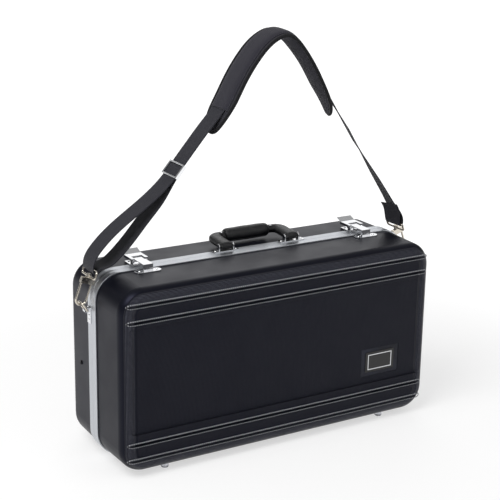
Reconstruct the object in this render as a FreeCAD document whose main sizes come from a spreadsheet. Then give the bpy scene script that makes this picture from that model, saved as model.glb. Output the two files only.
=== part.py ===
import FreeCAD, Part
import math
import os
import re
import Sketcher

# Trumpet case: two moulded shells with metal edge valances, hinged along the bottom, drawn shut by
# two draw latches, with a folding handle, a shoulder strap on snap hooks and a padded bed inside.
# Millimetres. X runs along the case, Y from the lid's face to the back, Z up from the feet.

# Driving dimensions, one row each: name and value. A value that starts with = is worked out.
SIZES = [
    # case
    ("case_length", "560"),
    ("case_height", "292"),
    ("front_depth", "98"),
    ("rear_depth", "91"),
    ("corner_radius", "40"),
    ("edge_radius", "18"),
    ("wall", "3.5"),
    ("draft_angle", "1"),
    ("floor_clearance", "6.5"),
    ("parting_y", "=(front_depth - rear_depth) / 2"),
    ("case_middle_z", "=floor_clearance + case_height / 2"),
    ("cut_overrun", "2"),
    # valances
    ("valance_depth", "13.5"),
    ("valance_leg", "2"),
    ("valance_inner_leg", "1.5"),
    ("valance_web", "4"),
    ("seam_gap", "0.4"),
    ("groove_inset", "2.5"),
    ("groove_width", "3"),
    ("groove_depth", "3"),
    ("tongue_width", "2"),
    ("tongue_height", "1.6"),
    ("valance_length", "=case_length + 2 * valance_leg"),
    ("valance_height", "=case_height + 2 * valance_leg"),
    ("valance_radius", "=corner_radius + valance_leg"),
    ("valance_top", "=floor_clearance + case_height + valance_leg"),
    ("valance_bottom", "=floor_clearance - valance_leg"),
    ("cavity_length", "=case_length - 2 * wall"),
    ("cavity_height", "=case_height - 2 * wall"),
    ("cavity_radius", "=corner_radius - wall"),
    ("mouth_length", "=cavity_length - 2 * valance_inner_leg"),
    ("mouth_height", "=cavity_height - 2 * valance_inner_leg"),
    ("mouth_radius", "=cavity_radius - valance_inner_leg"),
    ("rim_gap", "=valance_depth * tan(draft_angle * 1deg)"),
    ("rim_inside_length", "=cavity_length - 2 * rim_gap"),
    ("rim_inside_height", "=cavity_height - 2 * rim_gap"),
    ("rim_inside_radius", "=cavity_radius - rim_gap"),
    ("lid_seam_y", "=parting_y - seam_gap"),
    ("groove_outer_length", "=valance_length - 2 * groove_inset"),
    ("groove_outer_height", "=valance_height - 2 * groove_inset"),
    ("groove_outer_radius", "=valance_radius - groove_inset"),
    ("groove_inner_length", "=groove_outer_length - 2 * groove_width"),
    ("groove_inner_height", "=groove_outer_height - 2 * groove_width"),
    ("groove_inner_radius", "=groove_outer_radius - groove_width"),
    ("tongue_side_gap", "=(groove_width - tongue_width) / 2"),
    ("tongue_outer_length", "=groove_outer_length - 2 * tongue_side_gap"),
    ("tongue_outer_height", "=groove_outer_height - 2 * tongue_side_gap"),
    ("tongue_outer_radius", "=groove_outer_radius - tongue_side_gap"),
    ("tongue_inner_length", "=tongue_outer_length - 2 * tongue_width"),
    ("tongue_inner_height", "=tongue_outer_height - 2 * tongue_width"),
    ("tongue_inner_radius", "=tongue_outer_radius - tongue_width"),
    # lid face
    ("press_depth", "2"),
    ("press_width", "5"),
    ("press_length", "540"),
    ("press_round_share", "0.45"),
    ("press_radius", "=press_width * press_round_share"),
    ("press_edge_offset", "24"),
    ("press_spacing", "25.5"),
    ("press_low_offset", "24"),
    ("field_depth", "1.2"),
    ("field_length", "534"),
    ("field_bottom_offset", "66"),
    ("field_top_offset", "58"),
    ("field_radius", "8"),
    ("field_height", "=case_height - field_bottom_offset - field_top_offset"),
    ("field_middle_z", "=floor_clearance + field_bottom_offset + field_height / 2"),
    ("press_1_z", "=floor_clearance + press_low_offset"),
    ("press_2_z", "=press_1_z + press_spacing"),
    ("press_4_z", "=floor_clearance + case_height - press_edge_offset"),
    ("press_3_z", "=press_4_z - press_spacing"),
    ("badge_recess_length", "74"),
    ("badge_recess_height", "48"),
    ("badge_recess_depth", "1"),
    ("badge_length", "56"),
    ("badge_height", "34"),
    ("badge_thickness", "1.4"),
    ("badge_radius", "2"),
    ("badge_side_offset", "96"),
    ("badge_bottom_offset", "102"),
    ("badge_middle_x", "=case_length / 2 - badge_side_offset"),
    ("badge_middle_z", "=floor_clearance + badge_bottom_offset"),
    ("face_y", "=parting_y - front_depth"),
    ("back_y", "=parting_y + rear_depth"),
    # hinges
    ("hinge_spacing", "370"),
    ("hinge_length", "50"),
    ("hinge_leaf_thickness", "1.2"),
    ("hinge_leaf_reach", "13"),
    ("hinge_knuckle_radius", "2"),
    ("hinge_pin_radius", "1"),
    ("running_gap", "0.04"),
    ("hinge_notch_gap", "0.3"),
    ("hinge_axis_z", "=valance_bottom - hinge_leaf_thickness / 2"),
    ("hinge_notch_depth", "=hinge_knuckle_radius + hinge_notch_gap - hinge_leaf_thickness / 2"),
    ("hinge_notch_width", "=2 * (hinge_knuckle_radius + hinge_notch_gap)"),
    ("hinge_segment_gap", "0.3"),
    ("small_rivet_radius", "2"),
    ("small_rivet_height", "1"),
    ("rivet_top_share", "0.6"),
    ("hinge_rivet_inset", "8"),
    # feet
    ("foot_radius", "6"),
    ("foot_spacing", "400"),
    ("foot_edge_offset", "19.5"),
    ("foot_round", "2.5"),
    ("foot_sink_gap", "0.1"),
    ("foot_reach", "=rear_depth - valance_web - foot_edge_offset - foot_radius"),
    ("foot_height", "=floor_clearance + foot_reach * tan(draft_angle * 1deg) - foot_sink_gap"),
    # latches
    ("latch_spacing", "398"),
    ("latch_plate_width", "28"),
    ("latch_axis_y", "=parting_y + latch_axis_offset"),
    ("latch_axis_z", "=valance_top + latch_axis_height"),
    ("latch_plate_thickness", "1.2"),
    ("latch_plate_reach", "30"),
    ("latch_axis_offset", "8"),
    ("latch_axis_height", "5.5"),
    ("latch_ear_thickness", "1.4"),
    ("latch_ear_radius", "3.5"),
    ("latch_ear_half_span", "11.2"),
    ("latch_pin_radius", "1.25"),
    ("latch_cheek_thickness", "1.4"),
    ("latch_cheek_half_span", "9.2"),
    ("latch_cheek_front", "2.5"),
    ("latch_cheek_rear", "9"),
    ("latch_cheek_drop", "2"),
    ("lever_rim_thickness", "1.2"),
    ("lever_rim_drop", "3"),
    ("lever_rim_start", "5"),
    ("lever_plate_thickness", "1.2"),
    ("lever_plate_rise", "4.1"),
    ("lever_front_reach", "3"),
    ("lever_length", "24"),
    ("lever_window_reach", "9.5"),
    ("lever_window_half_width", "8.6"),
    ("lever_tip_length", "13"),
    ("lever_tip_angle", "22"),
    ("link_pin_offset", "6"),
    ("link_pin_rise", "1.5"),
    ("link_pin_radius", "0.9"),
    ("link_half_width", "8"),
    ("link_plate_rise", "2.5"),
    ("link_plate_thickness", "1.2"),
    ("link_reach", "32"),
    ("link_eye_radius", "2"),
    ("claw_thickness", "1.5"),
    ("claw_gap", "0.3"),
    ("link_flange_length", "13"),
    ("link_flange_drop", "2.5"),
    ("strike_width", "28"),
    ("strike_depth", "15"),
    ("strike_offset", "15"),
    ("strike_thickness", "1.2"),
    ("keeper_width", "16"),
    ("keeper_thickness", "2.4"),
    ("keeper_height", "3.2"),
    ("seat_step", "=valance_leg + (valance_depth - valance_web) * tan(draft_angle * 1deg)"),
    ("strike_rivet_half_span", "14"),
    ("latch_rivet_half_span", "9"),
    ("latch_rivet_inset", "5"),
    ("strike_bottom_z", "=valance_top - seat_step"),
    ("keeper_top_z", "=strike_bottom_z + strike_thickness + keeper_height"),
    ("keeper_middle_y", "=latch_axis_y - link_reach + claw_thickness / 2"),
    ("link_pin_y", "=latch_axis_y + link_pin_offset"),
    ("link_pin_z", "=latch_axis_z + link_pin_rise"),
    # handle
    ("handle_shift", "12"),
    ("handle_spacing", "121"),
    ("handle_axis_offset", "7.5"),
    ("handle_axis_height", "8.5"),
    ("handle_rest_angle", "3.5"),
    ("handle_arm_reach", "42"),
    ("handle_end_width", "23"),
    ("handle_outer_length", "=handle_spacing + handle_end_width"),
    ("handle_axis_y", "=parting_y + handle_axis_offset"),
    ("handle_axis_z", "=valance_top + handle_axis_height"),
    ("handle_thickness", "13"),
    ("handle_corner_radius", "19"),
    ("handle_pin_radius", "1.5"),
    ("grip_radius", "11"),
    ("grip_length", "81"),
    ("grip_core_width", "13"),
    ("bracket_length", "46"),
    ("bracket_width", "11"),
    ("bracket_thickness", "1.4"),
    ("bracket_ear_gap", "0.4"),
    ("bracket_ear_thickness", "1.6"),
    ("bracket_ear_radius", "4"),
    ("bracket_rivet_inset", "4.5"),
    # rings and hooks
    ("ring_plate_height", "26"),
    ("ring_plate_width", "11.5"),
    ("ring_plate_thickness", "1.4"),
    ("ring_plate_bottom_offset", "214"),
    ("ring_rivet_low", "5.7"),
    ("ring_rivet_high", "13"),
    ("lug_radius", "3.8"),
    ("lug_length", "7.6"),
    ("lug_offset", "4.5"),
    ("lug_drop", "4.5"),
    ("lug_neck_height", "6"),
    ("ring_wire_radius", "1.5"),
    ("ring_bore_gap", "0.1"),
    ("ring_half_width", "9"),
    ("ring_reach", "16.5"),
    ("ring_corner", "5"),
    ("ring_tilt", "33"),
    ("lug_x", "=-(valance_length / 2 + ring_plate_thickness + lug_offset)"),
    ("lug_z", "=floor_clearance + ring_plate_bottom_offset + ring_plate_height - lug_drop"),
    ("ring_bar_x", "=lug_x - ring_reach * sin(ring_tilt * 1deg)"),
    ("ring_bar_z", "=lug_z + ring_reach * cos(ring_tilt * 1deg)"),
    ("strap_y", "=parting_y + valance_depth / 2"),
    ("hook_gap", "0.5"),
    ("hook_wire_radius", "1.8"),
    ("hook_bend_radius", "8.5"),
    ("hook_spine_length", "25"),
    ("hook_nose_length", "4"),
    ("hook_tilt", "20"),
    ("hook_bend_rise", "=hook_bend_radius - hook_wire_radius - hook_gap - ring_wire_radius"),
    ("hook_knuckle_rise", "=hook_bend_rise + hook_spine_length"),
    ("eye_barrel_rise", "=hook_knuckle_rise + hook_knuckle_length + hook_gap"),
    ("eye_bar_rise", "=eye_barrel_rise + eye_barrel_length / 2"),
    ("eye_top_rise", "=eye_bar_rise + eye_rise"),
    ("eye_top_x", "=ring_bar_x + eye_top_rise * sin(hook_tilt * 1deg)"),
    ("eye_top_z", "=ring_bar_z + eye_top_rise * cos(hook_tilt * 1deg)"),
    ("hook_knuckle_length", "9"),
    ("hook_knuckle_half_width", "10.5"),
    ("hook_knuckle_half_depth", "3.2"),
    ("hook_post_radius", "2.2"),
    ("gate_radius", "1.3"),
    ("gate_top_radius", "1.6"),
    ("gate_gap", "0.3"),
    ("gate_top_half_length", "1.5"),
    ("gate_slot_half_depth", "1.8"),
    ("gate_hinge_rise", "4.5"),
    ("gate_stub_radius", "0.9"),
    ("hook_head_radius", "3.2"),
    ("hook_head_thickness", "1"),
    ("eye_barrel_radius", "4"),
    ("eye_barrel_length", "5"),
    ("eye_wire_radius", "1.7"),
    ("eye_half_span", "22.5"),
    ("eye_rise", "11"),
    ("eye_corner", "3.2"),
    # strap
    ("webbing_width", "38"),
    ("webbing_thickness", "1.6"),
    ("pad_width", "62"),
    ("pad_thickness", "13"),
    ("pad_edge_thickness", "5"),
    ("pad_gap", "0.6"),
    ("slider_width", "46"),
    ("slider_length", "24"),
    ("slider_side_width", "3.6"),
    ("slider_bar_radius", "1.2"),
    ("slider_layer_gap", "0.5"),
    ("fold_start", "20"),
    ("fold_reach", "75"),
    ("fold_gap", "1"),
    # inside
    ("lining_thickness", "16"),
    ("lining_side_gap", "0.5"),
    ("lining_fillet", "15.5"),
    ("bed_floor_reach", "=rear_depth - wall - lining_thickness - valance_web"),
    ("bed_shrink", "=bed_floor_reach * tan(draft_angle * 1deg) + lining_side_gap"),
    ("bed_lining_length", "=cavity_length - 2 * bed_shrink"),
    ("bed_lining_height", "=cavity_height - 2 * bed_shrink"),
    ("lining_radius", "=cavity_radius - lining_side_gap"),
    ("bed_half_length", "268"),
    ("bed_space_length", "=2 * bed_half_length"),
    ("mouth_gap", "0.3"),
    ("divider_height", "186.5"),
    ("divider_thickness", "8"),
    ("bed_front_offset", "6"),
    ("bell_radius", "62"),
    ("bell_throat_radius", "14"),
    ("bell_length", "150"),
    ("bell_gap", "5"),
    ("bed_end_width", "18"),
    ("valve_rest_length", "110"),
    ("valve_rest_height", "28"),
    ("valve_rest_shift", "5"),
    ("pipe_rest_length", "40"),
    ("pipe_rest_drop", "40"),
    ("pipe_rest_offset", "60"),
    ("mouthpiece_block_length", "118"),
    ("mouthpiece_bore_radius", "13.5"),
    ("mouthpiece_bore_depth", "52"),
    ("mouthpiece_spacing", "50"),
    ("flap_thickness", "6"),
    ("flap_front_offset", "4"),
    ("flap_gap", "2"),
    ("flap_hinge_gap", "0.3"),
    ("flap_top_gap", "4"),
    ("tab_length", "20"),
    ("tab_height", "18"),
    ("tab_thickness", "1.5"),
    ("stay_anchor_depth", "48"),
    ("stay_anchor_height", "135"),
    ("stay_drop", "98"),
    ("stay_width", "12"),
    ("stay_thickness", "1.2"),
    ("stay_wall_gap", "4.2"),
    ("stay_rivet_radius", "4"),
    ("stay_rivet_height", "1.6"),
    ("stay_seat_gap", "0.2"),
    ("stay_rivet_reach", "=stay_anchor_depth - stay_rivet_radius - valance_web - seam_gap"),
    ("stay_outer_x", "=case_length / 2 - stay_rivet_reach * tan(draft_angle * 1deg)"),
    ("stay_x", "=mouth_length / 2 - stay_wall_gap"),
    ("stay_anchor_z", "=floor_clearance + stay_anchor_height"),
    ("stay_washer_length", "=stay_outer_x - wall - stay_x - stay_seat_gap"),
    ("bed_floor_y", "=back_y - wall - lining_thickness"),
    ("bed_front_y", "=parting_y + bed_front_offset"),
    ("mouth_bottom_z", "=floor_clearance + wall + valance_inner_leg + mouth_gap"),
    ("mouth_top_z", "=floor_clearance + case_height - wall - valance_inner_leg - mouth_gap"),
    ("divider_z", "=mouth_bottom_z + divider_height"),
    ("flap_axis_z", "=flap_bottom_z + flap_thickness / 2"),
    ("flap_axis_y", "=parting_y + flap_front_offset + flap_thickness / 2"),
    ("flap_bottom_z", "=divider_z + divider_thickness + flap_hinge_gap"),
    ("flap_top_z", "=mouth_top_z - flap_top_gap"),
    ("mouthpiece_block_x", "=bed_half_length - mouthpiece_block_length"),
    ("bed_depth", "=bed_floor_y - bed_front_y"),
    ("bed_space_height", "=mouth_top_z - mouth_bottom_z"),
    ("bed_middle_z", "=(mouth_bottom_z + divider_z) / 2"),
    ("pocket_middle_z", "=(divider_z + divider_thickness + mouth_top_z) / 2"),
]

# The shoulder strap's route seen from the front: X, and the height above the eyes' top bars. It runs
# from the right eye up to the pad, along the pad and down to the slider, in points set by eye.
RIGHT_LEG_ROUTE = [
    (281.6, 11.6), (268.5, 34.6), (252.0, 58.6), (225.0, 97.6), (200.0, 133.6), (171.0, 174.6),
]
PAD_ROUTE = [
    (149.0, 205.6), (125.0, 237.6), (100.0, 278.6), (75.0, 309.6), (44.0, 326.6), (12.0, 321.6),
    (-16.0, 297.6), (-40.0, 264.6), (-64.0, 223.6), (-87.0, 197.6),
]
LEFT_LEG_ROUTE = [
    (-108.0, 173.6), (-131.0, 146.6),
]
# The doubled length at the left: from the slider down to the hook's eye, and back up underneath.
LOOP_UPPER_ROUTE = [
    (-149.0, 125.6), (-180.0, 98.6), (-206.0, 80.6), (-241.0, 56.6), (-268.0, 32.6), (-281.4, 12.6),
]
LOOP_LOWER_ROUTE = [
    (-264.0, 3.6), (-240.0, 15.6), (-217.0, 37.6), (-190.0, 67.6), (-166.0, 94.6), (-146.5, 124.1),
    (-139.8, 133.0),
]
# The pad's width and thickness at the points of its route, from its right tip to its left
PAD_WIDTH_SHARES = (0.35, 0.86, 1, 1, 1, 1, 1, 1, 0.86, 0.35)
PAD_THICKNESS_SHARES = (0.4, 0.75, 1, 1, 1, 1, 1, 1, 0.75, 0.4)
# How far along each stretch of a route the webbing's own places lie
STRETCH_SHARES = (1 / 3, 2 / 3, 1)
EYE_TURN_DEGREES = (180, 225, 270, 315, 360)
HINGE_RINGS = 5
RIGHT, LEFT = 1, -1

doc = FreeCAD.newDocument("TrumpetCase")
sheet = doc.addObject("Spreadsheet::Sheet", "Sizes")
for row, (alias, content) in enumerate(SIZES, start=1):
    sheet.set("A%d" % row, alias.replace("_", " "))
    sheet.set("B%d" % row, content)
    sheet.setAlias("B%d" % row, alias)
doc.recompute()

ALIASES = {alias for alias, content in SIZES}
NODES = []


def size(alias):
    """The value of a named size in millimetres or degrees."""
    return float(sheet.get(alias))


def bound(text):
    """An expression in size names, with each name pointed at the sheet."""
    return re.sub(r"[a-z][a-z0-9_]*", lambda word: "Sizes." * (word.group(0) in ALIASES) + word.group(0),
                  text)


def bind(thing, **expressions):
    """Ties properties to expressions; a double underscore stands for a dot."""
    for name, text in expressions.items():
        thing.setExpression(name.replace("__", "."), bound(text))
    return thing


def place(thing, x="0", y="0", z="0"):
    """Ties an object's position to expressions."""
    return bind(thing, Placement__Base__x=x, Placement__Base__y=y, Placement__Base__z=z)


def node(name, thing):
    """Marks an object as a finished sub-part under its own label."""
    thing.Label = name
    NODES.append(thing)
    return thing


def box(name, lengths, corner):
    """A block from its three lengths and its lowest corner."""
    thing = doc.addObject("Part::Box", name)
    bind(thing, Length=lengths[0], Width=lengths[1], Height=lengths[2])
    return place(thing, *corner)


def rod(name, axis, radius, length, start):
    """A round bar that runs along X, Y or Z from its start."""
    thing = doc.addObject("Part::Cylinder", name)
    turn = {"X": ((0, 1, 0), 90), "Y": ((1, 0, 0), -90), "Z": ((0, 0, 1), 0)}[axis]
    thing.Placement.Rotation = FreeCAD.Rotation(FreeCAD.Vector(*turn[0]), turn[1])
    bind(thing, Radius=radius, Height=length)
    return place(thing, *start)


def dome(name, direction, radius, height, start):
    """A rivet head that narrows away from its seat."""
    thing = doc.addObject("Part::Cone", name)
    turn = {"+X": ((0, 1, 0), 90), "-X": ((0, 1, 0), -90), "+Z": ((0, 0, 1), 0),
            "-Z": ((1, 0, 0), 180)}[direction]
    thing.Placement.Rotation = FreeCAD.Rotation(FreeCAD.Vector(*turn[0]), turn[1])
    bind(thing, Radius1=radius, Radius2=radius + " * rivet_top_share", Height=height)
    return place(thing, *start)


def fuse(name, pieces):
    """Joins solids into one object."""
    thing = doc.addObject("Part::MultiFuse", name)
    thing.Shapes = pieces
    thing.Refine = True
    return thing


def group(name, pieces):
    """Keeps like solids apart in one object."""
    thing = doc.addObject("Part::Compound", name)
    thing.Links = pieces
    return thing


def cut(name, base, tool):
    """Takes one object out of another."""
    thing = doc.addObject("Part::Cut", name)
    thing.Base = base
    thing.Tool = tool
    return thing


def mirrored_x(name, source):
    """The same piece for the other end of the case."""
    thing = doc.addObject("Part::Mirroring", name)
    thing.Source = source
    thing.Normal = FreeCAD.Vector(1, 0, 0)
    return thing


def formed(name, shape):
    """An object whose form is drawn from arcs and lines by its own function."""
    thing = doc.addObject("Part::Feature", name)
    thing.Shape = shape
    thing.Placement = FreeCAD.Placement()
    return thing


def sketch_facing_front(body, name, y):
    """A sketch upright in the case's length and height, at the depth y."""
    sketch = body.newObject("Sketcher::SketchObject", name)
    plane = [item for item in body.Origin.OriginFeatures if item.Role == "XZ_Plane"][0]
    sketch.AttachmentSupport = [(plane, "")]
    sketch.MapMode = "FlatFace"
    sketch.setExpression("AttachmentOffset.Base.z", bound("-(" + y + ")"))
    return sketch


def rounded_rectangle(sketch, tag, length, height, radius, middle_x="0", middle_z="case_middle_z"):
    """Adds a rounded rectangle whose size and place follow the sheet."""
    half_x, half_z, r = size(length) / 2, size(height) / 2, size(radius)
    x = size(middle_x) if middle_x in ALIASES else 0
    z = size(middle_z)
    vector = FreeCAD.Vector
    first = sketch.GeometryCount
    corners = [(x + half_x - r, z - half_z + r), (x + half_x - r, z + half_z - r),
               (x - half_x + r, z + half_z - r), (x - half_x + r, z - half_z + r)]
    ends = [((x - half_x + r, z - half_z), (x + half_x - r, z - half_z)),
            ((x + half_x, z - half_z + r), (x + half_x, z + half_z - r)),
            ((x + half_x - r, z + half_z), (x - half_x + r, z + half_z)),
            ((x - half_x, z + half_z - r), (x - half_x, z - half_z + r))]
    for start, stop in ends:
        sketch.addGeometry(Part.LineSegment(vector(*start, 0), vector(*stop, 0)), False)
    for index, corner in enumerate(corners):
        circle = Part.Circle(vector(*corner, 0), vector(0, 0, 1), r)
        begin = -math.pi / 2 + index * math.pi / 2
        sketch.addGeometry(Part.ArcOfCircle(circle, begin, begin + math.pi / 2), False)
    lines = list(range(first, first + 4))
    arcs = list(range(first + 4, first + 8))
    for index in range(4):
        sketch.addConstraint(Sketcher.Constraint("Tangent", lines[index], 2, arcs[index], 1))
        sketch.addConstraint(Sketcher.Constraint("Tangent", arcs[index], 2, lines[(index + 1) % 4], 1))
    sketch.addConstraint(Sketcher.Constraint("Horizontal", lines[0]))
    sketch.addConstraint(Sketcher.Constraint("Horizontal", lines[2]))
    sketch.addConstraint(Sketcher.Constraint("Vertical", lines[1]))
    sketch.addConstraint(Sketcher.Constraint("Vertical", lines[3]))
    for arc in arcs[1:]:
        sketch.addConstraint(Sketcher.Constraint("Equal", arcs[0], arc))
    named = [
        ("Radius", Sketcher.Constraint("Radius", arcs[0], r), radius),
        ("Length", Sketcher.Constraint("DistanceX", lines[3], 1, lines[1], 1, 2 * half_x), length),
        ("Height", Sketcher.Constraint("DistanceY", lines[0], 1, lines[2], 1, 2 * half_z), height),
        ("Right", Sketcher.Constraint("DistanceX", -1, 1, lines[1], 1, x + half_x),
         middle_x + " + " + length + " / 2"),
        ("Top", Sketcher.Constraint("DistanceY", -1, 1, lines[2], 1, z + half_z),
         middle_z + " + " + height + " / 2"),
    ]
    for name, constraint, text in named:
        number = sketch.addConstraint(constraint)
        sketch.renameConstraint(number, tag + name)
        sketch.setExpression("Constraints." + tag + name, bound(text))


def pad(body, name, sketch, length, towards_back, taper=None):
    """Raises a sketch; a taper narrows it on the way."""
    feature = body.newObject("PartDesign::Pad", name)
    feature.Profile = sketch
    feature.Reversed = towards_back
    bind(feature, Length=length)
    if taper:
        bind(feature, TaperAngle="-" + taper)
    return feature


def pocket(body, name, sketch, length, towards_back, taper=None):
    """Sinks a sketch into the body; a taper narrows it on the way."""
    feature = body.newObject("PartDesign::Pocket", name)
    feature.Profile = sketch
    feature.Reversed = not towards_back
    bind(feature, Length=length)
    if taper:
        bind(feature, TaperAngle="-" + taper)
    return feature


def tapered_block(name, seam_y, depth, towards_back, outline, edge_radius):
    """A block that narrows with its depth and is rounded along its far edge."""
    body = doc.addObject("PartDesign::Body", name)
    sketch = sketch_facing_front(body, name + "_outline", seam_y)
    rounded_rectangle(sketch, "Outline", *outline)
    block = pad(body, name + "_block", sketch, depth, towards_back, "draft_angle")
    doc.recompute()
    towards = 1 if towards_back else -1
    far = max(vertex.Point.y * towards for vertex in block.Shape.Vertexes)
    rim = []
    for index, edge in enumerate(block.Shape.Edges, start=1):
        if min(vertex.Point.y * towards for vertex in edge.Vertexes) > far - size("seam_gap"):
            rim.append("Edge%d" % index)
    rounded = body.newObject("PartDesign::Fillet", name + "_edge")
    rounded.Base = (block, rim)
    bind(rounded, Radius=edge_radius)
    return body


def hollow_block(name, seam_y, depth, towards_back):
    """The space inside a shell, one wall smaller all round."""
    outline = ("cavity_length", "cavity_height", "cavity_radius")
    return tapered_block(name, seam_y, depth + " - wall", towards_back, outline, "edge_radius - wall")


def valance(name, seam_y, depth, towards_back):
    """A metal edge ring with a slot that takes the shell's rim."""
    body = doc.addObject("PartDesign::Body", name)
    sign = " + " if towards_back else " - "
    ring = sketch_facing_front(body, name + "_ring", seam_y)
    rounded_rectangle(ring, "Outer", "valance_length", "valance_height", "valance_radius")
    rounded_rectangle(ring, "Mouth", "mouth_length", "mouth_height", "mouth_radius")
    pad(body, name + "_section", ring, depth, towards_back)
    slot = sketch_facing_front(body, name + "_slot_outline", "%s%s(%s)" % (seam_y, sign, depth))
    rounded_rectangle(slot, "Rim", "case_length", "case_height", "corner_radius")
    rounded_rectangle(slot, "RimInside", "rim_inside_length", "rim_inside_height", "rim_inside_radius")
    pocket(body, name + "_slot", slot, depth + " - valance_web", not towards_back)
    return body


# Rear shell: the base, which carries the fittings and the bed
mouth_back = "parting_y + valance_web"
case_outline = ("case_length", "case_height", "corner_radius")
rear_form = tapered_block("rear_form", mouth_back, "rear_depth - valance_web", True, case_outline,
                          "edge_radius")
rear_hollow = hollow_block("rear_hollow", mouth_back, "rear_depth - valance_web", True)
node("rear_shell", cut("rear_shell_cut", rear_form, rear_hollow))

# Lid shell: grooves, a shallow field and a badge recess pressed into its face
mouth_front = "lid_seam_y - valance_web"
lid_depth = "front_depth - seam_gap - valance_web"
lid_form = tapered_block("lid_form", mouth_front, lid_depth, False, case_outline, "edge_radius")
field = sketch_facing_front(lid_form, "field_outline", "face_y")
rounded_rectangle(field, "Field", "field_length", "field_height", "field_radius", "0", "field_middle_z")
pocket(lid_form, "field", field, "field_depth", True)
for number in range(1, 5):
    groove = sketch_facing_front(lid_form, "groove_%d_outline" % number, "face_y")
    rounded_rectangle(groove, "Groove", "press_length", "press_width", "press_radius", "0",
                      "press_%d_z" % number)
    pocket(lid_form, "groove_%d" % number, groove, "press_depth", True)
recess = sketch_facing_front(lid_form, "badge_recess_outline", "face_y")
rounded_rectangle(recess, "Recess", "badge_recess_length", "badge_recess_height", "badge_radius",
                  "badge_middle_x", "badge_middle_z")
pocket(lid_form, "badge_recess", recess, "field_depth + badge_recess_depth", True)
lid_hollow = hollow_block("lid_hollow", mouth_front, lid_depth, False)
node("front_shell", cut("front_shell_cut", lid_form, lid_hollow))

# Badge: a bare plate with rounded corners in its recess
badge = doc.addObject("PartDesign::Body", "badge_body")
badge_outline = sketch_facing_front(badge, "badge_outline", "face_y + field_depth + badge_recess_depth")
rounded_rectangle(badge_outline, "Badge", "badge_length", "badge_height", "badge_radius",
                  "badge_middle_x", "badge_middle_z")
pad(badge, "badge_plate_form", badge_outline, "badge_thickness", False)
node("badge_plate", badge)

# Valances: the base's has a groove, the lid's has the tongue that drops into it
rear_ring = valance("rear_valance_form", "parting_y", "valance_depth", True)
seal_groove = sketch_facing_front(rear_ring, "seal_groove_outline", "parting_y")
rounded_rectangle(seal_groove, "Outside", "groove_outer_length", "groove_outer_height",
                  "groove_outer_radius")
rounded_rectangle(seal_groove, "Inside", "groove_inner_length", "groove_inner_height",
                  "groove_inner_radius")
pocket(rear_ring, "seal_groove", seal_groove, "groove_depth", True)
front_ring = valance("front_valance_form", "lid_seam_y", "valance_depth - seam_gap", False)
tongue = sketch_facing_front(front_ring, "tongue_outline", "lid_seam_y")
rounded_rectangle(tongue, "Outside", "tongue_outer_length", "tongue_outer_height", "tongue_outer_radius")
rounded_rectangle(tongue, "Inside", "tongue_inner_length", "tongue_inner_height", "tongue_inner_radius")
pad(front_ring, "tongue", tongue, "tongue_height + seam_gap", True)


def hinge_notches(name):
    """Room in a valance's underside for the hinge barrels."""
    notches = []
    for side in (-1, 1):
        notches.append(box("%s_%s" % (name, "right" if side > 0 else "left"),
                           ("hinge_length + 2 * hinge_notch_gap", "hinge_notch_width",
                            "hinge_notch_depth + cut_overrun"),
                           ("%d * hinge_spacing / 2 - hinge_length / 2 - hinge_notch_gap" % side,
                            "parting_y - hinge_notch_width / 2", "valance_bottom - cut_overrun")))
    return fuse(name, notches)


node("rear_valance", cut("rear_valance_cut", rear_ring, hinge_notches("rear_notches")))
node("front_valance", cut("front_valance_cut", front_ring, hinge_notches("front_notches")))


def hinge_leaf(side, towards_back):
    """A leaf under one valance with its share of the barrel: three rings on the base, two on the lid."""
    name = "hinge_%s_%s" % ("base_leaf" if towards_back else "lid_leaf", "right" if side > 0 else "left")
    left = "%d * hinge_spacing / 2 - hinge_length / 2" % side
    start = "parting_y + hinge_notch_width / 2" if towards_back else "parting_y - hinge_leaf_reach"
    plate = box(name + "_plate", ("hinge_length", "hinge_leaf_reach - hinge_notch_width / 2",
                                  "hinge_leaf_thickness"),
                (left, start, "valance_bottom - hinge_leaf_thickness"))
    solids = [plate]
    for index in ((0, 2, 4) if towards_back else (1, 3)):
        ring_left = left + " + hinge_length / %d * %d + hinge_segment_gap / 2" % (HINGE_RINGS, index)
        ring_length = "hinge_length / %d - hinge_segment_gap" % HINGE_RINGS
        solids.append(rod("%s_ring_%d" % (name, index), "X", "hinge_knuckle_radius", ring_length,
                          (ring_left, "parting_y", "hinge_axis_z")))
        bridge_y = "parting_y" if towards_back else "parting_y - hinge_notch_width / 2"
        solids.append(box("%s_bridge_%d" % (name, index),
                          (ring_length, "hinge_notch_width / 2", "hinge_leaf_thickness"),
                          (ring_left, bridge_y, "valance_bottom - hinge_leaf_thickness")))
    bore = rod(name + "_bore", "X", "hinge_pin_radius + running_gap", "hinge_length + 2 * cut_overrun",
               (left + " - cut_overrun", "parting_y", "hinge_axis_z"))
    return node(name, cut(name + "_bored", fuse(name + "_solid", solids), bore))


hinge_pins = []
base_rivets = []
lid_rivets = []
for side in (-1, 1):
    for towards_back in (True, False):
        hinge_leaf(side, towards_back)
        rivet_y = "parting_y + hinge_leaf_reach / 2 + hinge_notch_width / 4"
        if not towards_back:
            rivet_y = "parting_y - hinge_leaf_reach / 2 - hinge_notch_width / 4"
        for end in (-1, 1):
            rivet_x = "%d * hinge_spacing / 2 + %d * (hinge_length / 2 - hinge_rivet_inset)" % (side, end)
            (base_rivets if towards_back else lid_rivets).append(
                dome("hinge_rivet_%d_%d_%d" % (side, end, towards_back), "-Z", "small_rivet_radius",
                     "small_rivet_height", (rivet_x, rivet_y, "valance_bottom - hinge_leaf_thickness")))
    hinge_pins.append(rod("hinge_pin_%d" % side, "X", "hinge_pin_radius", "hinge_length",
                          ("%d * hinge_spacing / 2 - hinge_length / 2" % side, "parting_y",
                           "hinge_axis_z")))
node("hinge_pins", group("hinge_pins", hinge_pins))


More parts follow.
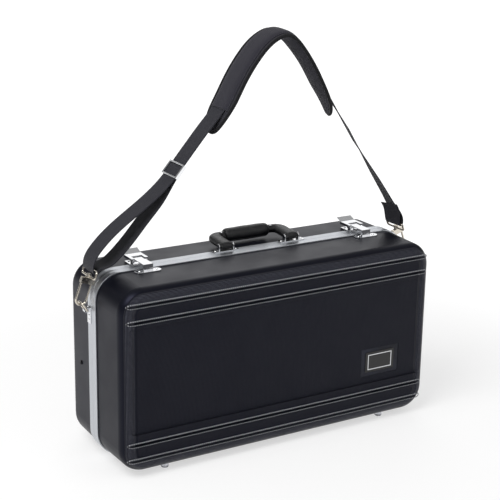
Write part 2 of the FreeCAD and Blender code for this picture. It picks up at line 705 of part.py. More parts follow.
def feet(name, y):
    """Two rounded rubber feet under one half."""
    pair = []
    for side in (-1, 1):
        stud = rod("%s_stud_%d" % (name, side), "Z", "foot_radius", "foot_height",
                   ("%d * foot_spacing / 2" % side, y, "0"))
        rounded = doc.addObject("Part::Fillet", "%s_round_%d" % (name, side))
        rounded.Base = stud
        doc.recompute()
        lower = [index for index, edge in enumerate(stud.Shape.Edges, start=1)
                 if edge.BoundBox.ZMax < size("foot_round") / 2][0]
        rounded.Edges = [(lower, size("foot_round"), size("foot_round"))]
        pair.append(rounded)
    return node(name, group(name, pair))


feet("rear_feet", "back_y - foot_edge_offset")
feet("front_feet", "face_y + foot_edge_offset")


def latch(side):
    """One draw latch: base, pins, over-centre lever, link with its claw, and the strike on the lid."""
    hand = "right" if side > 0 else "left"
    middle = "%d * latch_spacing / 2" % side

    def slab(name, half, y, depth, z, height):
        return box("latch_%s_%s" % (hand, name), ("2 * (%s)" % half, depth, height),
                   (middle + " - (%s)" % half, y, z))

    def pair(name, inner, thickness, y, depth, z, height):
        walls = []
        for index, left in enumerate(("-(%s) - %s" % (inner, thickness), "+ (%s)" % inner)):
            walls.append(box("latch_%s_%s_%d" % (hand, name, index), (thickness, depth, height),
                             (middle + " " + left, y, z)))
        return walls

    def bar(name, half, radius, y, z):
        return rod("latch_%s_%s" % (hand, name), "X", radius, "2 * (%s)" % half,
                   (middle + " - (%s)" % half, y, z))

    ear_outer = "latch_ear_half_span + latch_ear_thickness"
    base = [slab("plate", "latch_plate_width / 2", "parting_y", "latch_plate_reach", "valance_top",
                 "latch_plate_thickness"),
            slab("seat", "latch_plate_width / 2", "parting_y + valance_depth + running_gap",
                 "latch_plate_reach - valance_depth - running_gap", "strike_bottom_z", "seat_step")]
    base += pair("ear", "latch_ear_half_span", "latch_ear_thickness", "latch_axis_y - latch_ear_radius",
                 "2 * latch_ear_radius", "valance_top", "latch_axis_height")
    round_ears = bar("ear_top", ear_outer, "latch_ear_radius", "latch_axis_y", "latch_axis_z")
    between = slab("ear_space", "latch_ear_half_span", "parting_y - cut_overrun", "latch_plate_reach",
                   "valance_top + latch_plate_thickness",
                   "latch_axis_height + latch_ear_radius + cut_overrun")
    bore = bar("ear_bore", ear_outer + " + cut_overrun", "latch_pin_radius + running_gap",
               "latch_axis_y", "latch_axis_z")
    base_solid = cut("latch_%s_base_open" % hand, fuse("latch_%s_base_solid" % hand, base + [round_ears]),
                     between)
    node("latch_base_" + hand, cut("latch_%s_base_bored" % hand, base_solid, bore))

    cheek_top = "lever_plate_rise + lever_plate_thickness + latch_cheek_drop"
    lever = [slab("cover", "latch_plate_width / 2", "latch_axis_y - lever_front_reach",
                  "lever_front_reach + lever_length", "latch_axis_z + lever_plate_rise",
                  "lever_plate_thickness")]
    lever += pair("cheek", "latch_cheek_half_span", "latch_cheek_thickness",
                  "latch_axis_y - latch_cheek_front",
                  "latch_cheek_front + latch_cheek_rear", "latch_axis_z - latch_cheek_drop", cheek_top)
    lever += pair("rim", "latch_plate_width / 2 - lever_rim_thickness", "lever_rim_thickness",
                  "latch_axis_y + lever_rim_start", "lever_length - lever_rim_start",
                  "latch_axis_z + lever_plate_rise - lever_rim_drop",
                  "lever_rim_drop + lever_plate_thickness")
    tip = slab("tip", "latch_plate_width / 2", "latch_axis_y + lever_length - lever_plate_thickness",
               "lever_tip_length", "latch_axis_z + lever_plate_rise", "lever_plate_thickness")
    tip.Placement.Rotation = FreeCAD.Rotation(FreeCAD.Vector(1, 0, 0), size("lever_tip_angle"))
    bind(tip, Placement__Rotation__Angle="lever_tip_angle")
    window = slab("window", "lever_window_half_width", "latch_axis_y - lever_front_reach - cut_overrun",
                  "lever_front_reach + cut_overrun + lever_window_reach",
                  "latch_axis_z + lever_plate_rise - cut_overrun",
                  "lever_plate_thickness + 2 * cut_overrun")
    bores = fuse("latch_%s_lever_bores" % hand,
                 [bar("pivot_bore", ear_outer, "latch_pin_radius + running_gap", "latch_axis_y",
                      "latch_axis_z"),
                  bar("link_bore", ear_outer, "link_pin_radius", "link_pin_y", "link_pin_z"), window])
    lever_solid = fuse("latch_%s_lever_solid" % hand, lever + [tip])
    node("latch_lever_" + hand, cut("latch_%s_lever_bored" % hand, lever_solid, bores))
    node("latch_link_pin_" + hand, bar("link_pin", "latch_cheek_half_span + latch_cheek_thickness",
                                       "link_pin_radius", "link_pin_y", "link_pin_z"))

    link_bottom = "latch_axis_z + link_plate_rise"
    claw_bottom = "keeper_top_z + claw_gap"
    link = [slab("link_plate", "link_half_width", "latch_axis_y - link_reach",
                 "link_reach + link_pin_offset",
                 link_bottom, "link_plate_thickness"),
            bar("link_eye", "link_half_width", "link_eye_radius", "link_pin_y", "link_pin_z"),
            slab("claw", "link_half_width", "latch_axis_y - link_reach", "claw_thickness", claw_bottom,
                 link_bottom + " + link_plate_thickness - (" + claw_bottom + ")")]
    link += pair("flange", "link_half_width - latch_cheek_thickness", "latch_cheek_thickness",
                 "latch_axis_y - link_reach + claw_thickness", "link_flange_length",
                 link_bottom + " - link_flange_drop", "link_flange_drop")
    eye_bore = bar("eye_bore", "link_half_width + cut_overrun", "link_pin_radius + running_gap",
                   "link_pin_y", "link_pin_z")
    node("latch_link_" + hand, cut("latch_%s_link_bored" % hand, fuse("latch_%s_link_solid" % hand, link),
                                   eye_bore))

    strike_y = "parting_y - strike_offset - strike_depth"
    strike = [slab("strike_plate", "strike_width / 2", strike_y, "strike_depth", "strike_bottom_z",
                   "strike_thickness"),
              slab("keeper", "keeper_width / 2", "keeper_middle_y - keeper_thickness / 2",
                   "keeper_thickness",
                   "strike_bottom_z", "strike_thickness + keeper_height")]
    for end in (-1, 1):
        strike.append(rod("latch_%s_strike_end_%d" % (hand, end), "Z", "strike_depth / 2",
                          "strike_thickness",
                          ("%s + %d * strike_width / 2" % (middle, end), strike_y + " + strike_depth / 2",
                           "strike_bottom_z")))
        lid_rivets.append(dome("strike_rivet_%s_%d" % (hand, end), "+Z", "small_rivet_radius",
                                  "small_rivet_height", ("%s + %d * strike_rivet_half_span" % (middle, end),
                                                         strike_y + " + strike_depth / 2",
                                                         "strike_bottom_z + strike_thickness")))
        base_rivets.append(dome("latch_rivet_%s_%d" % (hand, end), "+Z", "small_rivet_radius",
                                 "small_rivet_height", ("%s + %d * latch_rivet_half_span" % (middle, end),
                                                        "parting_y + latch_plate_reach - latch_rivet_inset",
                                                        "valance_top + latch_plate_thickness")))
    node("latch_strike_" + hand, fuse("latch_%s_strike" % hand, strike))
    return bar("pin", ear_outer, "latch_pin_radius", "latch_axis_y", "latch_axis_z")


# Draw latches near both ends of the top edge
latch_pins = [latch(side) for side in (-1, 1)]
node("latch_pins", group("latch_pins", latch_pins))


def handle_bracket(side):
    """A riveted foot with two ears that hold one end of the handle."""
    hand = "right" if side > 0 else "left"
    middle = "handle_shift + %d * handle_spacing / 2" % side
    name = "handle_bracket_" + hand
    half_span = "(handle_end_width / 2 + bracket_ear_gap)"
    outer = "(handle_end_width / 2 + bracket_ear_gap + bracket_ear_thickness)"
    plate = box(name + "_plate", ("bracket_length", "bracket_width", "bracket_thickness"),
                (middle + " - bracket_length / 2", "handle_axis_y - bracket_width / 2", "valance_top"))
    block = box(name + "_ears", ("2 * " + outer, "2 * bracket_ear_radius", "handle_axis_height"),
                (middle + " - " + outer, "handle_axis_y - bracket_ear_radius", "valance_top"))
    tops = rod(name + "_tops", "X", "bracket_ear_radius", "2 * " + outer,
               (middle + " - " + outer, "handle_axis_y", "handle_axis_z"))
    space = box(name + "_space", ("2 * " + half_span, "bracket_length",
                                  "handle_axis_height + bracket_length"),
                (middle + " - " + half_span, "handle_axis_y - bracket_length / 2",
                 "valance_top + bracket_thickness"))
    bore = rod(name + "_bore", "X", "handle_pin_radius", "2 * bracket_length",
               (middle + " - bracket_length", "handle_axis_y", "handle_axis_z"))
    solid = cut(name + "_open", fuse(name + "_solid", [plate, block, tops]), space)
    node(name, cut(name + "_bored", solid, bore))
    for end in (-1, 1):
        base_rivets.append(dome("%s_rivet_%d" % (name, end), "+Z", "small_rivet_radius",
                                "small_rivet_height",
                                ("%s + %d * (bracket_length / 2 - bracket_rivet_inset)" % (middle, end),
                                 "handle_axis_y", "valance_top + bracket_thickness")))
    return rod(name + "_pin", "X", "handle_pin_radius", "2 * " + outer,
               (middle + " - " + outer, "handle_axis_y", "handle_axis_z"))


handle_pins = [handle_bracket(side) for side in (-1, 1)]
node("handle_pins", group("handle_pins", handle_pins))


def fold_back(thing):
    """Lays a piece of the handle, drawn flat from its hinge, back at its rest angle."""
    thing.Placement.Rotation = FreeCAD.Rotation(FreeCAD.Vector(1, 0, 0), size("handle_rest_angle"))
    bind(thing, Placement__Rotation__Angle="handle_rest_angle")
    return place(thing, "handle_shift", "handle_axis_y", "handle_axis_z")


# Handle: a stiff strap with an eye at each end and a padded grip round its crossbar
strap_reach = "handle_arm_reach + grip_core_width / 2"
blank = box("handle_blank", ("handle_outer_length", strap_reach, "handle_thickness"),
            ("-handle_outer_length / 2", "0", "-handle_thickness / 2"))
doc.recompute()
blank_corners = [index for index, edge in enumerate(blank.Shape.Edges, start=1)
                 if edge.BoundBox.YMin > 0 and edge.BoundBox.XLength < size("running_gap")]
handle_blank = doc.addObject("Part::Fillet", "handle_rounded")
handle_blank.Base = blank
handle_blank.Edges = [(index, size("handle_corner_radius"),
                       size("handle_corner_radius")) for index in blank_corners]
frame_parts = [handle_blank]
for side in (-1, 1):
    frame_parts.append(rod("handle_eye_%d" % side, "X", "handle_thickness / 2", "handle_end_width",
                           ("%d * handle_spacing / 2 - handle_end_width / 2" % side, "0", "0")))
handle_window = box("handle_window", ("handle_spacing - handle_end_width",
                                      "handle_thickness + handle_arm_reach - grip_core_width / 2",
                                      "2 * handle_thickness"),
                    ("-(handle_spacing - handle_end_width) / 2", "-handle_thickness", "-handle_thickness"))
handle_bore = rod("handle_bore", "X", "handle_pin_radius + running_gap", "2 * handle_outer_length",
                  ("-handle_outer_length", "0", "0"))
handle_frame = cut("handle_frame_cut", fuse("handle_frame_solid", frame_parts),
                   fuse("handle_frame_tools", [handle_window, handle_bore]))
node("handle_strap", fold_back(handle_frame))
grip_tube = rod("grip_tube", "X", "grip_radius", "grip_length",
                ("-grip_length / 2", "handle_arm_reach", "0"))
grip_core = box("grip_core", ("handle_outer_length", "grip_core_width", "handle_thickness"),
                ("-handle_outer_length / 2", "handle_arm_reach - grip_core_width / 2",
                 "-handle_thickness / 2"))
node("handle_grip", fold_back(cut("grip_cut", grip_tube, grip_core)))


def bent_wire(points, corner, radius, closed):
    """A round wire along straight runs joined by arcs, in its own X and Z."""
    count = len(points)
    spots = [FreeCAD.Vector(x, 0, z) for x, z in points]
    edges = []
    last = None
    first = None
    for index in (range(count) if closed else range(1, count - 1)):
        here = spots[index]
        before = (spots[index - 1] - here).normalize()
        after = (spots[(index + 1) % count] - here).normalize()
        half = before.getAngle(after) / 2
        reach = corner / math.tan(half)
        start, stop = here + before * reach, here + after * reach
        middle = here + (before + after).normalize() * (corner / math.sin(half) - corner)
        if last is not None:
            edges.append(Part.LineSegment(last, start).toShape())
        elif not closed:
            edges.append(Part.LineSegment(spots[0], start).toShape())
        first = first or start
        edges.append(Part.Arc(start, middle, stop).toShape())
        last = stop
    edges.append(Part.LineSegment(last, first if closed else spots[-1]).toShape())
    path = Part.Wire(edges)
    begin = edges[0]
    start = begin.valueAt(begin.FirstParameter)
    profile = Part.Wire([Part.Circle(start, begin.tangentAt(begin.FirstParameter), radius).toShape()])
    return path.makePipeShell([profile], True, True)


def both_sides(name, thing):
    """The left piece and its mirror image at the right."""
    node(name + "_left", thing)
    node(name + "_right", mirrored_x(name + "_mirror", thing))


# Ring plates on the ends of the base's valance, each with a lug that holds a ring
plate_x = "-(valance_length / 2) - ring_plate_thickness"
ring_plate = box("ring_plate", ("ring_plate_thickness", "ring_plate_width", "ring_plate_height"),
                 (plate_x, "strap_y - ring_plate_width / 2", "floor_clearance + ring_plate_bottom_offset"))
lug = rod("ring_lug", "Y", "lug_radius", "lug_length", ("lug_x", "strap_y - lug_length / 2", "lug_z"))
lug_neck = box("ring_lug_neck", ("lug_offset", "lug_length", "lug_neck_height"),
               ("lug_x", "strap_y - lug_length / 2", "lug_z - lug_neck_height / 2"))
lug_bore = rod("ring_lug_bore", "Y", "ring_wire_radius + ring_bore_gap", "2 * lug_length",
               ("lug_x", "strap_y - lug_length", "lug_z"))
lug_trim = box("ring_lug_trim", ("valance_leg + lug_radius", "2 * lug_length", "ring_plate_height"),
               ("-(valance_length / 2)", "strap_y - lug_length", "lug_z - ring_plate_height / 2"))
both_sides("ring_bracket", cut("ring_bracket_cut", fuse("ring_bracket_solid", [ring_plate, lug, lug_neck]),
                               fuse("ring_bracket_tools", [lug_bore, lug_trim])))
for side, direction in ((-1, "-X"), (1, "+X")):
    for row, spot in enumerate(("ring_rivet_low", "ring_rivet_high")):
        base_rivets.append(dome("ring_rivet_%d_%d" % (side, row), direction, "small_rivet_radius",
                                "small_rivet_height",
                                ("%d * (valance_length / 2 + ring_plate_thickness)" % side, "strap_y",
                                 "floor_clearance + ring_plate_bottom_offset + " + spot)))
# One rivet serves all the fittings
node("base_rivets", group("base_rivets_group", base_rivets))
node("lid_rivets", group("lid_rivets_group", lid_rivets))

# D rings, drawn upright across the case, then tilted outwards
half_ring = size("ring_half_width")
ring_shape = bent_wire([(-half_ring, 0), (half_ring, 0), (half_ring, size("ring_reach")),
                        (-half_ring, size("ring_reach"))], size("ring_corner"), size("ring_wire_radius"),
                       True)
ring = formed("ring_form", ring_shape)
quarter = FreeCAD.Rotation(FreeCAD.Vector(0, 0, 1), 90)
ring.Placement = FreeCAD.Placement(FreeCAD.Vector(size("lug_x"), size("strap_y"), size("lug_z")),
                                   FreeCAD.Rotation(FreeCAD.Vector(0, 1, 0),
                                                    -size("ring_tilt")).multiply(quarter))
both_sides("strap_ring", ring)


def tilted_at_ring(thing):
    """Hangs a piece, drawn upright from the ring's bar, at the hook's tilt."""
    thing.Placement.Rotation = FreeCAD.Rotation(FreeCAD.Vector(0, 1, 0), size("hook_tilt"))
    bind(thing, Placement__Rotation__Angle="hook_tilt")
    return place(thing, "ring_bar_x", "strap_y", "ring_bar_z")


# Snap hooks: a wire bend under a solid knuckle that swivels in the strap's eye
bend = size("hook_bend_radius")
rise = size("hook_bend_rise")
hook_points = [(-bend, rise + size("hook_spine_length")), (-bend, rise - bend), (bend, rise - bend),
               (bend, rise + size("hook_nose_length"))]
hook_wire = formed("hook_wire", bent_wire(hook_points, bend - size("running_gap"),
                                          size("hook_wire_radius"), False))
knuckle = box("hook_knuckle", ("2 * hook_knuckle_half_width", "2 * hook_knuckle_half_depth",
                               "hook_knuckle_length"),
              ("-hook_knuckle_half_width", "-hook_knuckle_half_depth", "hook_knuckle_rise"))
post = rod("hook_post", "Z", "hook_post_radius", "hook_gap * 2 + eye_barrel_length + hook_head_thickness",
           ("0", "0", "hook_knuckle_rise + hook_knuckle_length"))
post_head = rod("hook_post_head", "Z", "hook_head_radius", "hook_head_thickness",
                ("0", "0", "eye_barrel_rise + eye_barrel_length + hook_gap"))
gate_slot = box("gate_slot", ("2 * hook_knuckle_half_width", "2 * gate_slot_half_depth",
                              "gate_hinge_rise + gate_radius + gate_gap + cut_overrun"),
                ("hook_bend_radius - hook_knuckle_half_width / 2", "-gate_slot_half_depth",
                 "hook_knuckle_rise - cut_overrun"))
gate_axis_z = "hook_knuckle_rise + gate_hinge_rise"
stub_bore = rod("stub_bore", "Y", "gate_stub_radius + running_gap", "4 * hook_knuckle_half_depth",
                ("hook_bend_radius", "-2 * hook_knuckle_half_depth", gate_axis_z))
hook = cut("hook_cut", fuse("hook_solid", [hook_wire, knuckle, post, post_head]),
           fuse("hook_tools", [gate_slot, stub_bore]))
both_sides("snap_hook", tilted_at_ring(hook))
gate_foot = "hook_bend_rise + hook_nose_length + gate_gap"
gate_bar = rod("gate_bar", "Z", "gate_radius", "%s - (%s)" % (gate_axis_z, gate_foot),
               ("hook_bend_radius", "0", gate_foot))
gate_top = rod("gate_top", "Y", "gate_top_radius", "2 * gate_top_half_length",
               ("hook_bend_radius", "-gate_top_half_length", gate_axis_z))
gate_stub = rod("gate_stub", "Y", "gate_stub_radius", "2 * hook_knuckle_half_depth",
                ("hook_bend_radius", "-hook_knuckle_half_depth", gate_axis_z))
both_sides("hook_gate", tilted_at_ring(fuse("gate_solid", [gate_bar, gate_top, gate_stub])))

# Strap eyes: a wire loop for the webbing on a barrel that the hook's post turns in
half_eye = size("eye_half_span")
low, high = size("eye_bar_rise"), size("eye_top_rise")
eye_wire = formed("eye_wire", bent_wire([(-half_eye, low), (half_eye, low), (half_eye, high),
                                         (-half_eye, high)],
                                        size("eye_corner"), size("eye_wire_radius"), True))
eye_wire.Placement.Rotation = FreeCAD.Rotation(FreeCAD.Vector(0, 0, 1), 90)
barrel = rod("eye_barrel", "Z", "eye_barrel_radius", "eye_barrel_length", ("0", "0", "eye_barrel_rise"))
barrel_bore = rod("eye_barrel_bore", "Z", "hook_post_radius + running_gap", "3 * eye_barrel_length",
                  ("0", "0", "eye_barrel_rise - eye_barrel_length"))
both_sides("strap_eye", tilted_at_ring(cut("strap_eye_cut", fuse("strap_eye_solid", [eye_wire, barrel]),
                                           barrel_bore)))


def eye_bend(side):
    """Points of the webbing's turn under the top bar of one eye, from the outer side to the inner."""
    radius = size("eye_wire_radius") + size("fold_gap") + size("webbing_thickness") / 2
    points = []
    for degrees in EYE_TURN_DEGREES:
        angle = math.radians(degrees)
        points.append((-side * (size("eye_top_x") + radius * math.cos(angle)),
                       size("eye_top_z") + radius * math.sin(angle)))
    return points


def above_eyes(route):
    """A route's points in the part's own X and Z."""
    return [(x, size("eye_top_z") + rise) for x, rise in route]


def smooth_route(points):
    """Places on one smooth curve through the route, with the direction and the inner side of each."""
    curve = Part.BSplineCurve()
    curve.interpolate([FreeCAD.Vector(x, 0, z) for x, z in points])
    knots = curve.getKnots()
    stops = [knots[0]]
    for first, last in zip(knots, knots[1:]):
        stops += [first + (last - first) * share for share in STRETCH_SHARES]
    spots = []
    for at in stops:
        tangent = FreeCAD.Vector(*curve.tangent(at)[0])
        spots.append((curve.value(at), FreeCAD.Vector(-tangent.z, 0, tangent.x)))
    return spots


# Webbing: one band from its sewn fold at the right eye, over the pad, through the slider, down to
# the left eye and back up to the slider's middle bar
fold_offset = 2 * size("webbing_thickness")
strap_route = above_eyes(RIGHT_LEG_ROUTE + PAD_ROUTE + LEFT_LEG_ROUTE)
loop_route = above_eyes(LOOP_UPPER_ROUTE)
strap_places = smooth_route(strap_route)
strap_start = strap_places[0][0]
fold = [here + inner * fold_offset for here, inner in strap_places
        if size("fold_start") < here.distanceToPoint(strap_start) < size("fold_reach")]
band_route = [(spot.x, spot.z) for spot in reversed(fold)] + eye_bend(RIGHT)[::-1] + strap_route
band_route += loop_route + eye_bend(LEFT) + above_eyes(LOOP_LOWER_ROUTE)
band = smooth_route(band_route)
half_band = size("webbing_thickness") / 2
band_edge = [here - inner * half_band for here, inner in band]
band_edge += [here + inner * half_band for here, inner in reversed(band)]
band_face = Part.Face(Part.makePolygon(band_edge + band_edge[:1]))
webbing = formed("webbing_form", band_face.extrude(FreeCAD.Vector(0, size("webbing_width"), 0)))
node("strap_webbing", place(webbing, "0", "strap_y - webbing_width / 2", "0"))


def between(shares, before, way_share):
    """A share part of the way from one entry of a table to the next."""
    return shares[before] + (shares[before + 1] - shares[before]) * way_share


def pad_section(here, inner, width_share, thickness_share):
    """The pad's outline across the strap: flat under the webbing, crowned towards the wearer."""
    across = FreeCAD.Vector(0, size("pad_width") / 2 * width_share, 0)
    top = here + inner * (half_band + size("pad_gap"))
    edge = inner * size("pad_edge_thickness") * thickness_share
    crown = inner * size("pad_thickness") * thickness_share
    return Part.Wire([Part.LineSegment(top - across, top + across).toShape(),
                      Part.LineSegment(top + across, top + across + edge).toShape(),
                      Part.Arc(top + across + edge, top + crown, top - across + edge).toShape(),
                      Part.LineSegment(top - across + edge, top - across).toShape()])


# Shoulder pad: lies under the webbing and narrows to a leaf at both ends
places_each = len(STRETCH_SHARES)
pad_first = len(RIGHT_LEG_ROUTE) * places_each
pad_places = strap_places[pad_first:pad_first + (len(PAD_ROUTE) - 1) * places_each + 1]
pad_sections = []
for index, (here, inner) in enumerate(pad_places):
    before = min(index // places_each, len(PAD_ROUTE) - 2)
    way_share = index / places_each - before
    pad_sections.append(pad_section(here, inner, between(PAD_WIDTH_SHARES, before, way_share),
                                    between(PAD_THICKNESS_SHARES, before, way_share)))
shoulder_pad = formed("pad_form", Part.makeLoft(pad_sections, True))
node("shoulder_pad", place(shoulder_pad, "0", "strap_y", "0"))


# Slider: two end bars over the webbing, a middle bar under it and a plate at each side
bar_rise = "(webbing_thickness / 2 + slider_layer_gap + slider_bar_radius)"
slider_parts = []
for side in (-1, 1):
    slider_parts.append(box("slider_side_%d" % side, ("slider_length", "slider_side_width",
                                                      "2 * " + bar_rise),
                            ("-slider_length / 2",
                             "%d * (slider_width - slider_side_width) / 2 - slider_side_width / 2" % side,
                             "-" + bar_rise)))
for number, rise_sign in ((-1, 1), (0, -1), (1, 1)):
    slider_parts.append(rod("slider_bar_%d" % number, "Y", "slider_bar_radius",
                            "slider_width - slider_side_width",
                            ("%d * (slider_length / 2 - slider_bar_radius)" % number,
                             "-(slider_width - slider_side_width) / 2", "%d * %s" % (rise_sign, bar_rise))))
slider = fuse("slider_solid", slider_parts)
(strap_end_x, strap_end_z), (loop_start_x, loop_start_z) = strap_route[-1], loop_route[0]
slider_angle = math.degrees(math.atan2(strap_end_z - loop_start_z, strap_end_x - loop_start_x))
slider.Placement.Rotation = FreeCAD.Rotation(FreeCAD.Vector(0, -1, 0), slider_angle)
node("strap_slider", place(slider, str((strap_end_x + loop_start_x) / 2), "strap_y",
                           str((strap_end_z + loop_start_z) / 2)))

# Linings: padded panels against the back of the base and the face of the lid
bed_outline = ("bed_lining_length", "bed_lining_height", "lining_radius")
node("bed_lining", tapered_block("bed_lining_form", "bed_floor_y", "lining_thickness", True, bed_outline,
                                 "lining_fillet"))
node("lid_lining", tapered_block("lid_lining_form", "face_y + wall + lining_thickness",
                                 "lining_thickness", False,
                                 bed_outline, "lining_fillet"))

def in_bed(name, thing):
    """The part of a block that lies inside the bed's rounded outline."""
    space = doc.addObject("PartDesign::Body", name + "_space")
    outline = sketch_facing_front(space, name + "_space_outline", "parting_y")
    rounded_rectangle(outline, "Bed", "bed_space_length", "bed_space_height", "mouth_radius")
    pad(space, name + "_space_block", outline, "bed_floor_y - parting_y", True)
    inside = doc.addObject("Part::Common", name + "_inside")
    inside.Base = thing
    inside.Tool = space
    return inside


# Bed: padded blocks that leave the trumpet's space between them, rounded where the case's corners are
node("bed_divider", box("bed_divider_form", ("2 * bed_half_length", "bed_depth", "divider_thickness"),
                        ("-bed_half_length", "bed_front_y", "divider_z")))
node("bed_end_rest", in_bed("bed_end", box("bed_end_form",
                                            ("bed_end_width", "bed_depth", "divider_z - mouth_bottom_z"),
                                            ("-bed_half_length", "bed_front_y", "mouth_bottom_z"))))
valve_x = "valve_rest_shift - valve_rest_length / 2"
node("valve_rest", group("valve_rest_pair", [
    box("valve_rest_low", ("valve_rest_length", "bed_depth", "valve_rest_height"),
        (valve_x, "bed_front_y", "mouth_bottom_z")),
    box("valve_rest_high", ("valve_rest_length", "bed_depth", "valve_rest_height"),
        (valve_x, "bed_front_y", "divider_z - valve_rest_height"))]))
node("pipe_rest", box("pipe_rest_form", ("pipe_rest_length", "bed_depth - pipe_rest_drop",
                                         "divider_z - mouth_bottom_z"),
                      ("-bed_half_length + pipe_rest_offset", "bed_front_y + pipe_rest_drop",
                       "mouth_bottom_z")))


def bell_wedge(side):
    """One wedge beside the bell: thick at the throat, thin at the rim."""
    end_x = size("bed_half_length")
    start_x = end_x - size("bell_length")
    middle = size("bed_middle_z")
    outer = size("mouth_bottom_z") if side < 0 else size("divider_z")
    throat = middle + side * (size("bell_throat_radius") + size("bell_gap"))
    rim = middle + side * (size("bell_radius") + size("bell_gap"))
    corners = [(start_x, outer), (end_x, outer), (end_x, rim), (start_x, throat)]
    spots = [FreeCAD.Vector(x, 0, z) for x, z in corners + corners[:1]]
    return Part.Face(Part.makePolygon(spots)).extrude(FreeCAD.Vector(0, size("bed_depth"), 0))


bell_rests = formed("bell_rest_form", Part.makeCompound([bell_wedge(-1), bell_wedge(1)]))
node("bell_rest", in_bed("bell", place(bell_rests, "0", "bed_front_y", "0")))

# Mouthpiece block: padded, with two blind holes that open towards the lid
block = box("mouthpiece_block_form", ("mouthpiece_block_length", "bed_depth",
                                      "mouth_top_z - divider_z - divider_thickness"),
            ("mouthpiece_block_x", "bed_front_y", "divider_z + divider_thickness"))
bores = [rod("mouthpiece_bore_%d" % side, "Y", "mouthpiece_bore_radius",
             "mouthpiece_bore_depth + cut_overrun",
             ("mouthpiece_block_x + mouthpiece_block_length / 2 + %d * mouthpiece_spacing / 2" % side,
              "bed_front_y - cut_overrun", "pocket_middle_z")) for side in (-1, 1)]
node("mouthpiece_block", in_bed("mouthpiece", cut("mouthpiece_block_cut", block,
                                                  fuse("mouthpiece_bores", bores))))

# Accessory lid: a padded board that turns on its rounded lower edge, with a ribbon tab to pull it open
flap_length = "(mouthpiece_block_x - flap_gap + bed_half_length)"
board = box("flap_board", (flap_length, "flap_thickness", "flap_top_z - flap_axis_z"),
            ("-bed_half_length", "flap_axis_y - flap_thickness / 2", "flap_axis_z"))
round_edge = rod("flap_edge", "X", "flap_thickness / 2", flap_length,
                 ("-bed_half_length", "flap_axis_y", "flap_axis_z"))
node("accessory_lid", in_bed("accessory", fuse("flap_solid", [board, round_edge])))
node("accessory_tab", box("tab_form", ("tab_length", "tab_thickness", "tab_height"),
                          ("-bed_half_length + " + flap_length + " / 2 - tab_length / 2",
                           "flap_axis_y - flap_thickness / 2 - tab_thickness", "flap_top_z - tab_height")))


def stay():
    """The left lid stay: a ribbon that hangs in a loop from the base's wall to the lid's."""
    depth, drop, half = size("stay_anchor_depth"), size("stay_drop"), size("stay_width") / 2
    arc_radius = depth - half
    low = -drop + arc_radius

    def loop(offset):
        reach = depth + offset
        left, right = FreeCAD.Vector(0, -reach, low), FreeCAD.Vector(0, reach, low)
        bottom = FreeCAD.Vector(0, 0, low - reach)
        quarter_share = math.sqrt(2) / 2
        side = [FreeCAD.Vector(0, sign * reach * quarter_share,
                               low - reach * quarter_share) for sign in (-1, 1)]
        return left, side[0], bottom, side[1], right

    outer, inner = loop(half), loop(-half)
    rise = FreeCAD.Vector(0, 0, half - low)
    edges = [Part.LineSegment(outer[0] + rise, outer[0]), Part.Arc(*outer[:3]), Part.Arc(*outer[2:]),
             Part.LineSegment(outer[4], outer[4] + rise),
             Part.LineSegment(outer[4] + rise, inner[4] + rise),
             Part.LineSegment(inner[4] + rise, inner[4]), Part.Arc(inner[4], inner[3], inner[2]),
             Part.Arc(inner[2], inner[1], inner[0]), Part.LineSegment(inner[0], inner[0] + rise),
             Part.LineSegment(inner[0] + rise, outer[0] + rise)]
    face = Part.Face(Part.Wire([edge.toShape() for edge in edges]))
    return face.extrude(FreeCAD.Vector(size("stay_thickness"), 0, 0))


# Lid stays and their rivets: the base's show outside as domed heads, the lid's are blind
stay_ribbon = place(formed("stay_form", stay()), "-stay_x", "parting_y", "stay_anchor_z")
both_sides("lid_stay", stay_ribbon)
for half_name, way in (("base", 1), ("lid", -1)):
    studs = []
    for side, outward, inward in ((-1, "-X", "+X"), (1, "+X", "-X")):
        stud_y = "parting_y + %d * stay_anchor_depth" % way
        name = "stay_rivet_%s_%d" % (half_name, side)
        if half_name == "base":
            studs.append(dome(name + "_outer", outward, "stay_rivet_radius", "stay_rivet_height",
                              ("%d * stay_outer_x" % side, stud_y, "stay_anchor_z")))
        studs.append(dome(name + "_inner", inward, "stay_rivet_radius", "stay_rivet_height",
                          ("%d * (stay_x - stay_thickness)" % side, stud_y, "stay_anchor_z")))
        washer_start = "stay_x" if side > 0 else "-stay_x - stay_washer_length"
        studs.append(rod(name + "_washer", "X", "stay_rivet_radius", "stay_washer_length",
                         (washer_start, stud_y, "stay_anchor_z")))
    node("stay_rivets_" + half_name, group("stay_rivets_" + half_name, studs))


def export_nodes():
    """Checks every object, then writes each sub-part under its own name."""
    doc.recompute()
    for thing in doc.Objects:
        if "Invalid" in thing.State or "Error" in thing.State:
            raise RuntimeError("%s failed: %s" % (thing.Name, thing.State))
    for thing in NODES:
        if thing.Shape.isNull() or not thing.Shape.isValid() or not thing.Shape.Solids:
            raise RuntimeError("%s has no valid solid" % thing.Label)
    os.makedirs("parts", exist_ok=True)
    for thing in NODES:
        thing.Shape.exportStep("parts/%s.step" % thing.Label)
    print("%d sub-parts written" % len(NODES))


export_nodes()
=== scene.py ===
# %% [markdown]
# # A trumpet case, dressed for the camera
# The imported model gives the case's real pieces in metres. This lesson gives each piece its finish and
# models the soft ones again as cloth, because a plain solid never looks sewn. The frame comes first,
# so that every later piece can be placed by the real one that carries it.

# %% The frame
import bmesh
import bpy
import numpy as np
from mathutils import Matrix


